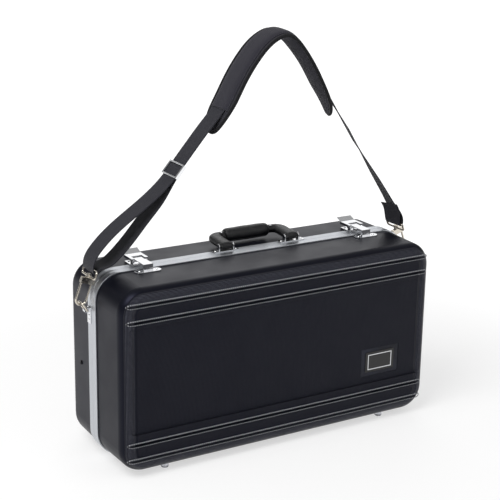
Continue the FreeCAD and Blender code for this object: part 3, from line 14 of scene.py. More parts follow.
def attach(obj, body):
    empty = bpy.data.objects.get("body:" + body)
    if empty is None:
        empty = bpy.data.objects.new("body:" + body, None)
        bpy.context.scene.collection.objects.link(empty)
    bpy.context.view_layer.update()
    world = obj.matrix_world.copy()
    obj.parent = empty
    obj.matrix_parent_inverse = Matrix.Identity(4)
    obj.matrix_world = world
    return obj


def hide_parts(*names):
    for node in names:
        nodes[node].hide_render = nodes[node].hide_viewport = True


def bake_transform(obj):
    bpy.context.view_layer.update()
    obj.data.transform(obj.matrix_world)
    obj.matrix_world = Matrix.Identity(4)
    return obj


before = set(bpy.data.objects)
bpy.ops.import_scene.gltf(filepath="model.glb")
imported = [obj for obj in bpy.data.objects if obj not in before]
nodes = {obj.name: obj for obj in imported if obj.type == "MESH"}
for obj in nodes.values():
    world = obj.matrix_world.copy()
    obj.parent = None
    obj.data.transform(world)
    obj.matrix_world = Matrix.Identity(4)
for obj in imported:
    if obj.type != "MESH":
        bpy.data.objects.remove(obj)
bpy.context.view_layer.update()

# %% [markdown]
# ## Camera
# The photograph was taken from the left, a little above the case, with a long lens. The place, the
# turn and the field of view were worked out from the case's own straight edges.

# %% Camera at the photograph's angle
FRAME_PIXELS = 500
FOCAL_PIXELS = 1336.5
CAMERA_PLACE = (-1.0435, -1.7298, 0.9236)
YAW, PITCH, ROLL = np.radians((30.85, 17.22, 1.01))
ahead = np.array((np.sin(YAW) * np.cos(PITCH), np.cos(YAW) * np.cos(PITCH), -np.sin(PITCH)))
level_right = np.array((np.cos(YAW), -np.sin(YAW), 0.0))
level_up = np.cross(level_right, ahead)
right = np.cos(ROLL) * level_right + np.sin(ROLL) * level_up
up = np.cos(ROLL) * level_up - np.sin(ROLL) * level_right
camera = bpy.data.objects.new("camera", bpy.data.cameras.new("camera"))
bpy.context.scene.collection.objects.link(camera)
camera.data.sensor_width = 36.0
camera.data.lens = FOCAL_PIXELS / FRAME_PIXELS * camera.data.sensor_width
camera.data.clip_end = 50.0
turned = Matrix(np.stack((right, up, -ahead), axis=1).tolist()).to_4x4()
camera.matrix_world = Matrix.Translation(CAMERA_PLACE) @ turned
bpy.context.scene.camera = camera
print("camera: lens %.1f mm" % camera.data.lens)

# %% [markdown]
# ## Building blocks for finishes
# A finish is a small graph of nodes. One function adds a node with its settings and links, and one
# turns a colour as written on the web into the linear values that a render works with.

# %% Colour and node helpers
MM = 0.001


def linear(code):
    """Linear red, green, blue, 1 from an sRGB hex code: below 0.04045 a value is divided by 12.92,
    above it is ((value + 0.055) / 1.055) to the power 2.4."""
    srgb = np.array([int(code[i:i + 2], 16) for i in (1, 3, 5)]) / 255
    low_part, high_part = srgb / 12.92, ((srgb + 0.055) / 1.055) ** 2.4
    return (*np.where(srgb <= 0.04045, low_part, high_part).tolist(), 1.0)


def add(tree, kind, links=(), **settings):
    """A node of one kind. Settings name its properties or its input sockets by label or number;
    links are pairs of an input and the socket that feeds it."""
    node = tree.nodes.new("ShaderNode" + kind)
    for name, value in settings.items():
        if hasattr(node, name):
            setattr(node, name, value)
        else:
            key = int(name[1:]) if name[1:].isdigit() else name.replace("_", " ")
            node.inputs[key].default_value = value
    for name, socket in links:
        tree.links.new(socket, node.inputs[name])
    return node


def finish(name, colour, **settings):
    """A material with its shader, ready for a pattern: returns the material, its tree and shader."""
    material = bpy.data.materials.new(name)
    material.use_nodes = True
    tree = material.node_tree
    shader = tree.nodes["Principled BSDF"]
    shader.inputs["Base Color"].default_value = linear(colour)
    for label, value in settings.items():
        shader.inputs[label.replace("_", " ")].default_value = value
    return material, tree, shader


print("colour and node helpers ready")

# %% Pattern helpers
def calc(tree, operation, *values):
    """The result of one sum, whose values are sockets or plain numbers."""
    node = add(tree, "Math", operation=operation)
    for place, value in enumerate(values):
        if isinstance(value, (int, float)):
            node.inputs[place].default_value = value
        else:
            tree.links.new(value, node.inputs[place])
    return node.outputs[0]


def remap(tree, value, low, high, to_low=0.0, to_high=1.0, kind="LINEAR"):
    """A value from low to high carried to another range and held at its ends."""
    return add(tree, "MapRange", [("Value", value)], interpolation_type=kind, From_Min=low, From_Max=high,
               To_Min=to_low, To_Max=to_high).outputs[0]


def wave(tree, value, pitch_mm):
    """A sine with one full turn every pitch."""
    return calc(tree, "SINE", calc(tree, "MULTIPLY", value, 2 * np.pi / (pitch_mm * MM)))


def noise(tree, where, size_mm, detail):
    """A cloudy value whose clouds are about one size."""
    return add(tree, "TexNoise", [("Vector", where)], Scale=1 / (size_mm * MM), Detail=detail).outputs["Fac"]


def on_piece(tree):
    """The place on the piece in metres, and the same as separate X, Y and Z."""
    where = add(tree, "TexCoord").outputs["Object"]
    return where, add(tree, "SeparateXYZ", [(0, where)]).outputs


def bumped(tree, shader, height, strength, depth_mm, under=None):
    """Relief from a height, on top of another relief if one is given. Returns the shader's normal."""
    links = [("Height", height)] if under is None else [("Height", height), ("Normal", under)]
    normal = add(tree, "Bump", links, Strength=strength, Distance=depth_mm * MM).outputs[0]
    tree.links.new(normal, shader.inputs["Normal"])
    return normal


def two_colours(tree, shader, share, dark, light):
    """Base colour from dark at share 0 to light at share 1."""
    mix = add(tree, "Mix", [("Factor", share)], data_type="RGBA", _6=linear(dark), _7=linear(light))
    tree.links.new(mix.outputs[2], shader.inputs["Base Color"])


print("pattern helpers ready")

# %% [markdown]
# ## Floor and light
# A pale floor with soft lamps overhead is how a catalogue picture is lit. Near the case the camera
# sees half plain white and half real paper, so the case's shadow still falls on it. Further off it
# sees white alone, so that the ground runs into the white backdrop without an edge.

# %% Floor
FLOOR_HALF = 15.0
FADE_NEAR, FADE_FAR, SHARE_NEAR = 0.5, 1.3, 0.5
floor_mesh = bpy.data.meshes.new("studio_floor")
floor_mesh.from_pydata([(FLOOR_HALF * x, FLOOR_HALF * y, 0) for x, y in ((-1, -1), (1, -1), (1, 1), (-1, 1))],
                       [], [(0, 1, 2, 3)])
floor = bpy.data.objects.new("studio_floor", floor_mesh)
bpy.context.scene.collection.objects.link(floor)
# Matt paper: no highlight, only the soft shadow that stands the case on the ground.
paper, tree, shader = finish("studio_paper", "#F4F4F4", Roughness=0.9)
path = add(tree, "LightPath").outputs
white = add(tree, "Emission", Color=(1, 1, 1, 1), Strength=1.2)
looks = calc(tree, "ADD", path["Is Camera Ray"], path["Is Glossy Ray"])
looks = calc(tree, "ADD", looks, path["Is Transmission Ray"])
from_case = add(tree, "VectorMath", [(0, on_piece(tree)[0])], operation="LENGTH").outputs["Value"]
fade = remap(tree, from_case, FADE_NEAR, FADE_FAR, SHARE_NEAR, 1.0, "SMOOTHSTEP")
mix = add(tree, "MixShader", [(0, calc(tree, "MULTIPLY", looks, fade)), (1, shader.outputs[0]),
                              (2, white.outputs[0])])
tree.links.new(mix.outputs[0], tree.nodes["Material Output"].inputs["Surface"])
floor_mesh.materials.append(paper)
print("floor: %.0f m square of paper" % (2 * FLOOR_HALF))

# %% Lamps and sky
def lamp(name, place, aim, size, watts):
    """A square soft box at a place, turned so that its own -Z looks at the aim."""
    data = bpy.data.lights.new(name, "AREA")
    data.shape, data.size, data.energy = "SQUARE", size, watts
    obj = bpy.data.objects.new(name, data)
    bpy.context.scene.collection.objects.link(obj)
    back = np.array(place, float) - np.array(aim, float)
    from_z = back / np.linalg.norm(back)
    side = np.cross((0, 0, 1), from_z)
    side = side / np.linalg.norm(side)
    turn = Matrix(np.stack((side, np.cross(from_z, side), from_z), axis=1).tolist()).to_4x4()
    obj.matrix_world = Matrix.Translation(place) @ turn


lamp("key_box", (-1.6, -0.6, 2.4), (0, 0, 0.25), 1.6, 50)
lamp("fill_box", (1.8, -2.2, 1.5), (0, 0, 0.25), 2.0, 12)
lamp("back_box", (2.2, 3.9, 2.4), (0, 0, 0.3), 3.4, 40)
world = bpy.data.worlds.new("studio_air")
world.use_nodes = True
bpy.context.scene.world = world
air = world.node_tree
room = air.nodes["Background"]
room.inputs["Strength"].default_value = 0.42
height = add(air, "SeparateXYZ", [(0, add(air, "TexCoord").outputs["Generated"])])
walls = add(air, "ValToRGB", [(0, height.outputs["Z"])])
walls.color_ramp.elements[0].position, walls.color_ramp.elements[0].color = 0.0, linear("#B4B6BA")
walls.color_ramp.elements[1].position, walls.color_ramp.elements[1].color = 0.55, linear("#FFFFFF")
middle = walls.color_ramp.elements.new(0.2)
middle.color = linear("#4A4B50")
air.links.new(walls.outputs["Color"], room.inputs["Color"])
backdrop = add(air, "Background", Color=(1, 1, 1, 1), Strength=1.0)
seen = add(air, "LightPath").outputs["Is Camera Ray"]
sky = add(air, "MixShader", [(0, seen), (1, room.outputs[0]), (2, backdrop.outputs[0])])
air.links.new(sky.outputs[0], air.nodes["World Output"].inputs["Surface"])
bpy.context.scene.view_settings.view_transform = "Standard"
print("lamps: 3 soft boxes, a room with darker walls and a white backdrop")

# %% [markdown]
# ## Shell plastic
# The shells are moulded ABS, vacuum formed over a mould. The mould's faces are etched with fine
# lozenges, which break up the light and make a face look nearly black. The drawn side walls are left
# satin smooth and pick up the pale room. The lozenges could be cut as geometry, but thousands of them
# would be too many faces, so one material does both: they fade out where the wall turns away.

# %% Moulded ABS
LOZENGE = 3.4
FACE_Y = 94.5


def outside_panel(tree, axes, half_x, half_z, middle_z, radius):
    """Distance outside a rectangle with round corners in X and Z, below zero inside it: how far X and
    Z lie past the corners' centres, as one length, less the corners' radius."""
    past = []
    for axis, middle, half in (("X", 0.0, half_x), ("Z", middle_z, half_z)):
        off = calc(tree, "ABSOLUTE", calc(tree, "SUBTRACT", axes[axis], middle))
        past.append(calc(tree, "MAXIMUM", calc(tree, "SUBTRACT", off, half - radius), 0.0))
    corner = add(tree, "CombineXYZ", [(0, past[0]), (1, past[1])]).outputs[0]
    far = add(tree, "VectorMath", [(0, corner)], operation="LENGTH").outputs["Value"]
    return calc(tree, "SUBTRACT", far, radius)


def moulded_abs(name, colour, light, face_y, panel=None):
    """ABS with an etched face: height is the product of two sine waves along the diagonals, one
    lozenge every 3.4 mm (drawn twice as coarse as the real one so that it shows), faded out 3 to
    6 mm behind the face. panel is the half width, half height, middle height and corner radius of a
    pressed outline: its depth is a smooth valley about the line at no distance from it. With a panel,
    the tops of the lozenges are painted lighter as specks of painted highlight, fewer inside that outline."""
    material, tree, shader = finish(name, colour, Roughness=0.4, IOR=1.53, Specular_IOR_Level=0.18,
                                    Specular_Tint=linear("#C9CCF2"))
    where, axes = on_piece(tree)
    behind = calc(tree, "ABSOLUTE", calc(tree, "SUBTRACT", axes["Y"], face_y))
    etched = remap(tree, behind, 3.0 * MM, 6.0 * MM, 1.0, 0.0, "SMOOTHSTEP")
    slants = [wave(tree, calc(tree, kind, axes["X"], axes["Z"]), LOZENGE) for kind in ("ADD", "SUBTRACT")]
    lozenge = calc(tree, "MULTIPLY", *slants)
    relief = calc(tree, "ADD", lozenge, noise(tree, where, 0.9, 2.0))
    normal = bumped(tree, shader, calc(tree, "MULTIPLY", relief, etched), 1.0, 0.3)
    if panel:
        off = outside_panel(tree, axes, *(value * MM for value in panel))
        border = remap(tree, off, -1.0 * MM, 1.0 * MM, 0.12, 1.0)
        # Painted highlight: the lozenges' tops are painted lighter, as glints of light on the etching, and
        # fewer inside the outline.
        tops = remap(tree, lozenge, 0.2, 0.9)
        painted_specks = calc(tree, "MULTIPLY", tops, calc(tree, "MULTIPLY", etched, border))
        two_colours(tree, shader, painted_specks, colour, light)
        valley = remap(tree, calc(tree, "ABSOLUTE", off), 0.0, 4.5 * MM, kind="SMOOTHSTEP")
        bumped(tree, shader, calc(tree, "MULTIPLY", valley, etched), 1.0, 2.4, normal)
    rough = remap(tree, noise(tree, where, 60, 3.0), 0.3, 0.7, 0.34, 0.44)
    tree.links.new(rough, shader.inputs["Roughness"])
    return material


# Both read as satin black with a faint blue cast. On the lid the lozenges' tops carry grey specks of painted
# highlight.
lid_plastic = moulded_abs("moulded_abs_lid", "#0C0D14", "#74757E", -FACE_Y * MM, (258.0, 122.0, 152.5, 14.0))
base_plastic = moulded_abs("moulded_abs_base", "#101119", "#101119", FACE_Y * MM)
print("ABS: lozenges of %.1f mm" % LOZENGE)

# %% [markdown]
# ## Metals
# The valances are extruded aluminium, anodised: a matt silver with very fine lines along the
# extrusion. The latches and brackets are pressed steel with bright chrome. The hooks, rings and eyes
# are cast zinc with nickel plating. The badge is a thin plate, anodised black, on which one engraved
# line shows the bare metal. The line could be cut, but it is too shallow to cast a shadow, so its
# material draws it.

# %% Plated metals
def plated(name, colour, roughness, smear_mm):
    """A plated metal: a roughness that wanders a little, as where fingers have been."""
    material, tree, shader = finish(name, colour, Metallic=1.0, Roughness=roughness)
    smear = noise(tree, on_piece(tree)[0], smear_mm, 4.0)
    rough = remap(tree, smear, 0.3, 0.75, roughness * 0.7, roughness * 1.7)
    tree.links.new(rough, shader.inputs["Roughness"])
    return material


# Chrome is a cool mirror, so it shows black and white edges of the room side by side.
chrome = plated("chromed_steel", "#E3E4E6", 0.09, 9.0)
# Nickel is warmer and softer than chrome, so its highlights are broad and slightly yellow.
nickel = plated("nickel_plated_zinc", "#CFC8BC", 0.2, 6.0)
# Blackened steel: a dark metal with a dull highlight.
blackened = plated("blackened_steel", "#1A1A1D", 0.42, 5.0)
print("plated: chrome, nickel and blackened steel")

# %% Badge
# A dark, even gloss with fine strokes, and a line that shines out of it like a drawn frame.
BADGE_BLACK, LINE_HALF = "#0B0B0D", 0.65
badge_metal, tree, shader = finish("black_anodised_badge", BADGE_BLACK, Roughness=0.28, IOR=1.5)
where, axes = on_piece(tree)
edges = []
for axis, middle, half in (("X", 184.0, 22.6), ("Z", 108.5, 12.4)):
    off = calc(tree, "ABSOLUTE", calc(tree, "SUBTRACT", axes[axis], middle * MM))
    edges.append(calc(tree, "SUBTRACT", off, half * MM))
outline_off = calc(tree, "ABSOLUTE", calc(tree, "MAXIMUM", *edges))
line = calc(tree, "LESS_THAN", outline_off, LINE_HALF * MM)
two_colours(tree, shader, line, BADGE_BLACK, "#D9DADD")
tree.links.new(line, shader.inputs["Metallic"])
brush = add(tree, "Mapping", [("Vector", where)], Scale=(30.0, 1.0, 4000.0)).outputs[0]
strokes = add(tree, "TexNoise", [("Vector", brush)], Scale=1.0, Detail=2.0).outputs["Fac"]
bumped(tree, shader, strokes, 0.25, 0.05)
print("badge: black, one silver line and no words")

# %% Anodised aluminium
# Matt silver: a long soft highlight, cut by fine dark lines that follow the rim.
anodised, tree, shader = finish("anodised_aluminium", "#C2C5CA", Metallic=1.0, Roughness=0.34)
where, axes = on_piece(tree)
bumped(tree, shader, remap(tree, wave(tree, axes["Y"], 1.35), 0.75, 1.0), 0.5, 0.12)
streak = add(tree, "Mapping", [("Vector", where)], Scale=(6.0, 900.0, 6.0)).outputs[0]
streaks = add(tree, "TexNoise", [("Vector", streak)], Scale=1.0, Detail=2.0).outputs["Fac"]
tree.links.new(remap(tree, streaks, 0.3, 0.7, 0.27, 0.4), shader.inputs["Roughness"])
print("anodised aluminium: a line every 1.35 mm")

# %% [markdown]
# ## Cloth, leather, plush and rubber
# Polypropylene webbing is woven in cords that run along it, crossed by a fine rib. The pad's cover is
# a plain nylon cloth. The handle is imitation leather: a soft plastic skin with an embossed grain. The
# inside is lined with short plush. The feet are cast of clear polyurethane, and the seams are sewn
# with polyester thread. Each weave could be modelled thread by thread, but at this distance a height
# pattern on the surface gives the same look.

# %% Woven cloth
def woven(name, colour, light, thread_mm, rib_mm, depth_mm):
    """Cloth on the piece's own UV in metres: height is the product of two crossing sine waves, one
    per thread along and one per rib across, plus three tenths of a fine noise for the loose fibres.
    The valleys are painted darker and the tops lighter, as painted shade."""
    material, tree, shader = finish(name, colour, Roughness=0.86, IOR=1.5, Sheen_Weight=0.15,
                                    Sheen_Roughness=0.4, Specular_IOR_Level=0.3)
    axes = add(tree, "SeparateXYZ", [(0, add(tree, "UVMap", uv_map="metres").outputs[0])]).outputs
    crossing = calc(tree, "MULTIPLY", wave(tree, axes["X"], thread_mm), wave(tree, axes["Y"], rib_mm))
    height = calc(tree, "MULTIPLY_ADD", noise(tree, on_piece(tree)[0], 0.9, 3.0), 0.3, crossing)
    bumped(tree, shader, height, 0.6, depth_mm)
    # Painted shade: the colour runs from dark in the weave's valleys to light on its tops.
    two_colours(tree, shader, remap(tree, height, -0.9, 1.1), colour, light)
    return material


# Polypropylene: coarse cords with a dull sheen, so that the band looks ribbed along its length.
polypropylene = woven("polypropylene_webbing", "#101016", "#36363E", 3.2, 2.2, 0.5)
# Nylon: a fine even cloth, greyer than the webbing.
nylon = woven("nylon_pad_cloth", "#1A1922", "#37363F", 1.6, 1.6, 0.25)
# Binding tape: finer and darker than the cloth that it borders.
tape = woven("nylon_binding_tape", "#0A0A0C", "#1B1B1F", 1.2, 1.2, 0.2)
# Ribbon: flat and silky.
ribbon = woven("polyester_ribbon", "#101013", "#26262B", 3.0, 1.0, 0.15)
print("woven: webbing, pad cloth, binding, ribbon")

# %% Imitation leather, plush, rubber and thread
# Imitation leather: black and glossy, with small creases that break up each highlight.
hide, tree, shader = finish("imitation_leather", "#0B0B0F", Roughness=0.3, IOR=1.5,
                            Specular_IOR_Level=0.5)
where = on_piece(tree)[0]
wrinkle = add(tree, "TexVoronoi", [("Vector", where)], feature="DISTANCE_TO_EDGE", Scale=1 / (1.6 * MM))
crease = remap(tree, wrinkle.outputs["Distance"], 0.0, 0.12)
bumped(tree, shader, calc(tree, "ADD", crease, noise(tree, where, 0.7, 4.0)), 0.7, 0.25)

# Plush: no highlight at all, but a pale rim where the pile is seen from the side, and soft clouds
# where it has been stroked.
plush, tree, shader = finish("short_plush", "#1C1D26", Roughness=0.95, Sheen_Weight=0.8,
                             Sheen_Roughness=0.35)
where = on_piece(tree)[0]
bumped(tree, shader, noise(tree, where, 0.8, 3.0), 0.9, 0.5)
two_colours(tree, shader, remap(tree, noise(tree, where, 45, 2.0), 0.35, 0.65), "#171821", "#262836")

# Clear polyurethane: milky, lets the pale floor shine through.
rubber, tree, shader = finish("clear_polyurethane_foot", "#C9CAD0", Roughness=0.22, IOR=1.5,
                              Transmission_Weight=0.75)
bumped(tree, shader, noise(tree, on_piece(tree)[0], 1.5, 4.0), 0.3, 0.1)

# Polyester thread: a paler, slightly fuzzy line on black cloth.
thread, tree, shader = finish("polyester_thread", "#3C3C41", Roughness=0.6, Sheen_Weight=0.3)
bumped(tree, shader, noise(tree, on_piece(tree)[0], 0.3, 2.0), 0.5, 0.05)
print("leather, plush, clear rubber and thread")

# %% [markdown]
# ## Dressing the hard pieces
# The imported pieces already have the right shape. Each gets its finish, and the pressed steel parts,
# the valances and the badge get a small rounded edge: real edges are never knife sharp, and it is the
# rounding that catches the light. The imported triangles are loose, so they are welded before they are
# bevelled.

# %% Finish for every carried piece
def dress(name, material, edge_mm=None):
    """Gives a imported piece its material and, if asked, a rounded edge of that width."""
    obj = nodes[name]
    obj.data.materials.clear()
    obj.data.materials.append(material)
    if edge_mm:
        weld = obj.modifiers.new("weld", "WELD")
        weld.merge_threshold = 0.005 * MM
        bevel = obj.modifiers.new("edge", "BEVEL")
        bevel.width, bevel.segments = edge_mm * MM, 2
        bevel.limit_method, bevel.angle_limit = "ANGLE", np.radians(35)
        bevel.harden_normals = True
    return obj


sides = ("left", "right")
dress("front_shell", lid_plastic)
dress("rear_shell", base_plastic)
dress("badge_plate", badge_metal, 0.3)
for name in ("rear_valance", "front_valance"):
    dress(name, anodised, 0.35)
for side in sides:
    for name in ("hinge_base_leaf", "hinge_lid_leaf", "ring_bracket", "latch_base", "latch_lever",
                 "latch_link", "latch_strike", "handle_bracket"):
        dress(name + "_" + side, chrome, 0.25)
    for name in ("strap_ring", "snap_hook", "hook_gate", "strap_eye"):
        dress(name + "_" + side, nickel)
for name in ("hinge_pins", "latch_pins", "handle_pins", "latch_link_pin_left", "latch_link_pin_right",
             "base_rivets", "lid_rivets", "stay_rivets_lid", "strap_slider"):
    dress(name, chrome)
dress("stay_rivets_base", blackened)
for name in ("rear_feet", "front_feet"):
    dress(name, rubber)
print("dressed:", sum(1 for node in nodes.values() if node.data.materials), "pieces")


# %% [markdown]
# ## Lines and surfaces
# Webbing, cord and piping are all one outline carried along a line. A smooth line through a few
# chosen points comes from cubics that meet with the same slope and bend, the way a thin batten bends
# when it is pinned. The outline then stands square to that line at each step.

# %% A smooth line and a carried outline
def distance_along(line):
    """The distance from a line's first point to each of its points, along the line."""
    return np.concatenate(([0], np.cumsum(np.linalg.norm(np.diff(line, axis=0), axis=1))))


def smooth(points, step):
    """Places every step along a line through the points: between two of them it is a cubic of the
    distance, and the cubics' bends come from one set of linear equations (a natural cubic)."""
    points = np.asarray(points, float)
    run = distance_along(points)
    gap = np.diff(run)
    system, load = np.eye(len(points)), np.zeros_like(points)
    row = np.arange(1, len(points) - 1)
    system[row, row - 1], system[row, row], system[row, row + 1] = gap[:-1], 2 * (gap[:-1] + gap[1:]), gap[1:]
    slope = np.diff(points, axis=0) / gap[:, None]
    load[1:-1] = 6 * np.diff(slope, axis=0)
    bend = np.linalg.solve(system, load)
    at = np.linspace(0, run[-1], max(2, int(round(run[-1] / step)) + 1))
    k = np.clip(np.searchsorted(run, at, side="right") - 1, 0, len(gap) - 1)
    u, h = (at - run[k])[:, None], gap[k][:, None]
    return (points[k] + u * (slope[k] - h * (2 * bend[k] + bend[k + 1]) / 6) + u ** 2 * bend[k] / 2
            + u ** 3 * (bend[k + 1] - bend[k]) / (6 * h))


def inner_side(line):
    """The unit direction square to a line in the X-Z plane, on its left seen from the front: the
    tangent (x, z) turned to (-z, x)."""
    way = np.gradient(line, axis=0)
    way = way / np.linalg.norm(way, axis=1, keepdims=True)
    return np.stack((-way[:, 1], way[:, 0]), axis=1)


def new_piece(name, spots, faces, body, material, uvs=None):
    """A mesh piece in metres from points and faces in millimetres, riding on a body. Its faces are
    turned outwards where the volume they enclose, the sum of a . (b x c) over triangles, is below
    zero. A piece given no body rides on none."""
    mesh = bpy.data.meshes.new(name)
    mesh.from_pydata((np.asarray(spots) * MM).tolist(), [], faces)
    mesh.calc_loop_triangles()
    corners = np.empty(3 * len(mesh.loop_triangles), dtype=np.int32)
    mesh.loop_triangles.foreach_get("vertices", corners)
    a, b, c = np.moveaxis(np.asarray(spots, float)[corners.reshape(-1, 3)], 1, 0)
    if np.sum(a * np.cross(b, c)) < 0:
        mesh.flip_normals()
    if uvs is not None:
        corner = np.empty(len(mesh.loops), dtype=np.int32)
        mesh.loops.foreach_get("vertex_index", corner)
        layer = mesh.uv_layers.new(name="metres")
        flat = uvs[corner] if len(uvs) == len(spots) else uvs
        layer.data.foreach_set("uv", (np.asarray(flat) * MM).astype(np.float32).ravel())
    mesh.polygons.foreach_set("use_smooth", np.full(len(mesh.polygons), True))
    mesh.materials.append(material)
    obj = bpy.data.objects.new(name, mesh)
    bpy.context.scene.collection.objects.link(obj)
    if body:
        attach(obj, body)
    return obj


def grid_faces(rows, columns, ring=False, loop=False):
    """Quads of a grid of points, row after row; ring joins the last column to the first, loop the
    last row to the first."""
    r = np.arange(rows if loop else rows - 1)[:, None]
    c = np.arange(columns if ring else columns - 1)[None, :]
    r2, c2 = (r + 1) % rows, (c + 1) % columns
    quads = np.stack([r * columns + c, r * columns + c2, r2 * columns + c2, r2 * columns + c], axis=-1)
    return quads.reshape(-1, 4).tolist()


def end_faces(rows, columns):
    """The faces that close a tube of points: its first row, and its last row turned round."""
    return [list(range(columns)), list(range((rows - 1) * columns, rows * columns))[::-1]]


def grid_uv(across, along):
    """UV of a grid of points: its columns' distances across and its rows' distances along."""
    return np.stack(np.broadcast_arrays(across[None, :], along[:, None]), axis=-1).reshape(-1, 2)


def faces_of(mesh):
    """A mesh's faces as lists of point numbers."""
    return [list(poly.vertices) for poly in mesh.polygons]


def tube(name, spots, body, material, across=None, along=None, loop=False):
    """A piece from a grid of points in millimetres whose rows are rings: a tube with closed ends, or
    a loop of rings. Its UV, if asked for, is the columns' across and the rows' along."""
    rows, columns = spots.shape[:2]
    faces = grid_faces(rows, columns, ring=True, loop=loop) + ([] if loop else end_faces(rows, columns))
    uvs = None if across is None else grid_uv(across, along)
    return new_piece(name, spots.reshape(-1, 3), faces, body, material, uvs)


print("smooth lines and grids")

# %% [markdown]
# ## Lips of the pressed grooves
# The four grooves stiffen the lid's face. Each has a small raised lip all round, which the press
# leaves in the plastic. The lip is too small for the imported model, but it draws the fine bright
# lines of the front, so it is added as a half round bead carried round each groove. Hands and
# floors polish it first, so it shines more than the face, and a row of painted highlight dots along it stands
# in for the glints of its etching.

# %% Groove lips
FACE_LEVEL, FACE_ROUND = 260.3, 18.0
GROOVE_HALF, GROOVE_END, GROOVE_RISE = 262, 8, 3.1


def face_depth(x):
    """Y of the lid's face: level in the middle, and a quarter circle from where it stops being so."""
    past = np.clip(np.abs(x) - FACE_LEVEL, 0, FACE_ROUND - 0.5)
    return -FACE_Y + FACE_ROUND - np.sqrt(FACE_ROUND ** 2 - past ** 2)


# Polished ABS: black, with a row of small bright dots of painted highlight for the glints of the etching's
# tops; the dots are also glossier.
polished_lip_painted_glints, tree, shader = finish("polished_abs_lip_painted_glints", "#2B2C33", Roughness=0.24, IOR=1.53)
dots_glossy_and_painted = wave(tree, on_piece(tree)[1]["X"], LOZENGE)
two_colours(tree, shader, remap(tree, dots_glossy_and_painted, -0.1, 0.6), "#101116", "#B4B6BC")
tree.links.new(remap(tree, dots_glossy_and_painted, -1.0, 1.0, 0.5, 0.16), shader.inputs["Roughness"])


def lip(name, middle_z):
    """A bead round one groove: a stadium with half ellipses at its ends, as long as the groove's end
    and as high as its rise; the bead's outline is half an ellipse, 1 mm out to each side and 1 mm
    high above the groove and six tenths of that below it, because the press leans a little."""
    straight = np.linspace(-GROOVE_HALF, GROOVE_HALF, 263)
    turn = np.radians(np.arange(-85, 86, 10))
    end_x, end_z = GROOVE_HALF + GROOVE_END * np.cos(turn), GROOVE_RISE * np.sin(turn)
    level = np.full(len(straight), GROOVE_RISE)
    path = np.concatenate((np.stack((straight, -level), axis=1), np.stack((end_x, end_z), axis=1),
                           np.stack((straight[::-1], level), axis=1), np.stack((-end_x, -end_z), axis=1)))
    way = np.roll(path, -1, axis=0) - np.roll(path, 1, axis=0)
    way = way / np.linalg.norm(way, axis=1, keepdims=True)
    bow = np.radians(np.arange(0, 181, 30))
    side = np.concatenate((np.cos(bow), (-1.0, 1.0)))
    high = np.concatenate((np.sin(bow), (-0.6, -0.6)))
    stout = (0.8 + 0.2 * path[:, 1] / GROOVE_RISE)[:, None]
    x = path[:, 0, None] + way[:, 1, None] * side[None, :] * stout
    z = path[:, 1, None] - way[:, 0, None] * side[None, :] * stout + middle_z
    y = face_depth(x) - high[None, :] * stout
    return tube(name, np.stack((x, y, z), axis=-1), "lid", polished_lip_painted_glints, loop=True)


for number, middle_z in enumerate((30.5, 56.0, 249.0, 274.5), start=1):
    lip("groove_lip_%d" % number, middle_z)
print("four groove lips")

# %% [markdown]
# ## Shoulder strap
# The strap is one length of webbing. It is sewn back on itself at the right eye, lies over the pad,
# passes the slider, turns round the left eye and comes back to the slider's middle bar. Webbing is
# stiff across and soft along, so it is a flat outline carried along the strap's own line, not cloth
# that drapes. Its weave follows the piece's own length and width.

# %% The strap's line
STRAP_Y = 10.25
EYE_X, EYE_Z = 278.86, 305.36
WEBBING = 1.6
strap_points = [(281.6, 317), (268.5, 340), (252, 364), (225, 403), (200, 439), (171, 480), (149, 511),
                (125, 543), (100, 584), (75, 617), (42, 641), (14, 633), (-16, 605), (-40, 570),
                (-64, 529), (-87, 503), (-108, 479), (-131, 452)]
upper_points = [(-149, 431), (-180, 404), (-206, 386), (-241, 362), (-268, 338), (-281.4, 318)]
lower_points = [(-264, 309), (-240, 321), (-217, 343), (-190, 373), (-166, 400), (-146.5, 429.5),
                (-139.8, 438.4)]
turn = np.radians(np.arange(180, 361, 45))
eye_turn = np.stack((EYE_X + 3.5 * np.cos(turn), EYE_Z + 3.5 * np.sin(turn)), axis=1)
left_turn = (eye_turn * (-1, 1))[::-1]
leg = smooth(strap_points, 3.0)
reach = np.linalg.norm(leg - leg[0], axis=1)
fold = (leg + inner_side(leg) * 2 * WEBBING)[(reach > 16) & (reach < 36)][::3]
strap_line = smooth(np.concatenate((fold[::-1], eye_turn, strap_points, upper_points, left_turn,
                                    lower_points)), 3.0)
print("strap: %.0f mm of webbing" % (3.0 * (len(strap_line) - 1)))

# %% Webbing
def band_outline(width, thickness, count=15):
    """Outline of a flat band, across and rise: two straight faces joined by half circles, with the
    faces hollowed by a tenth of a millimetre between the selvedges."""
    half, r = (width - thickness) / 2, thickness / 2
    flat = np.linspace(-half, half, count)
    hollow = r - 0.1 * (1 - (flat / half) ** 8)
    bow = np.radians(np.linspace(90, -90, 7)[1:-1])
    right_end = np.stack((half + r * np.cos(bow), r * np.sin(bow)), axis=1)
    left_end = right_end[::-1] * (-1, 1)
    return np.concatenate((np.stack((flat, hollow), axis=1), right_end,
                           np.stack((flat[::-1], -hollow[::-1]), axis=1), left_end))


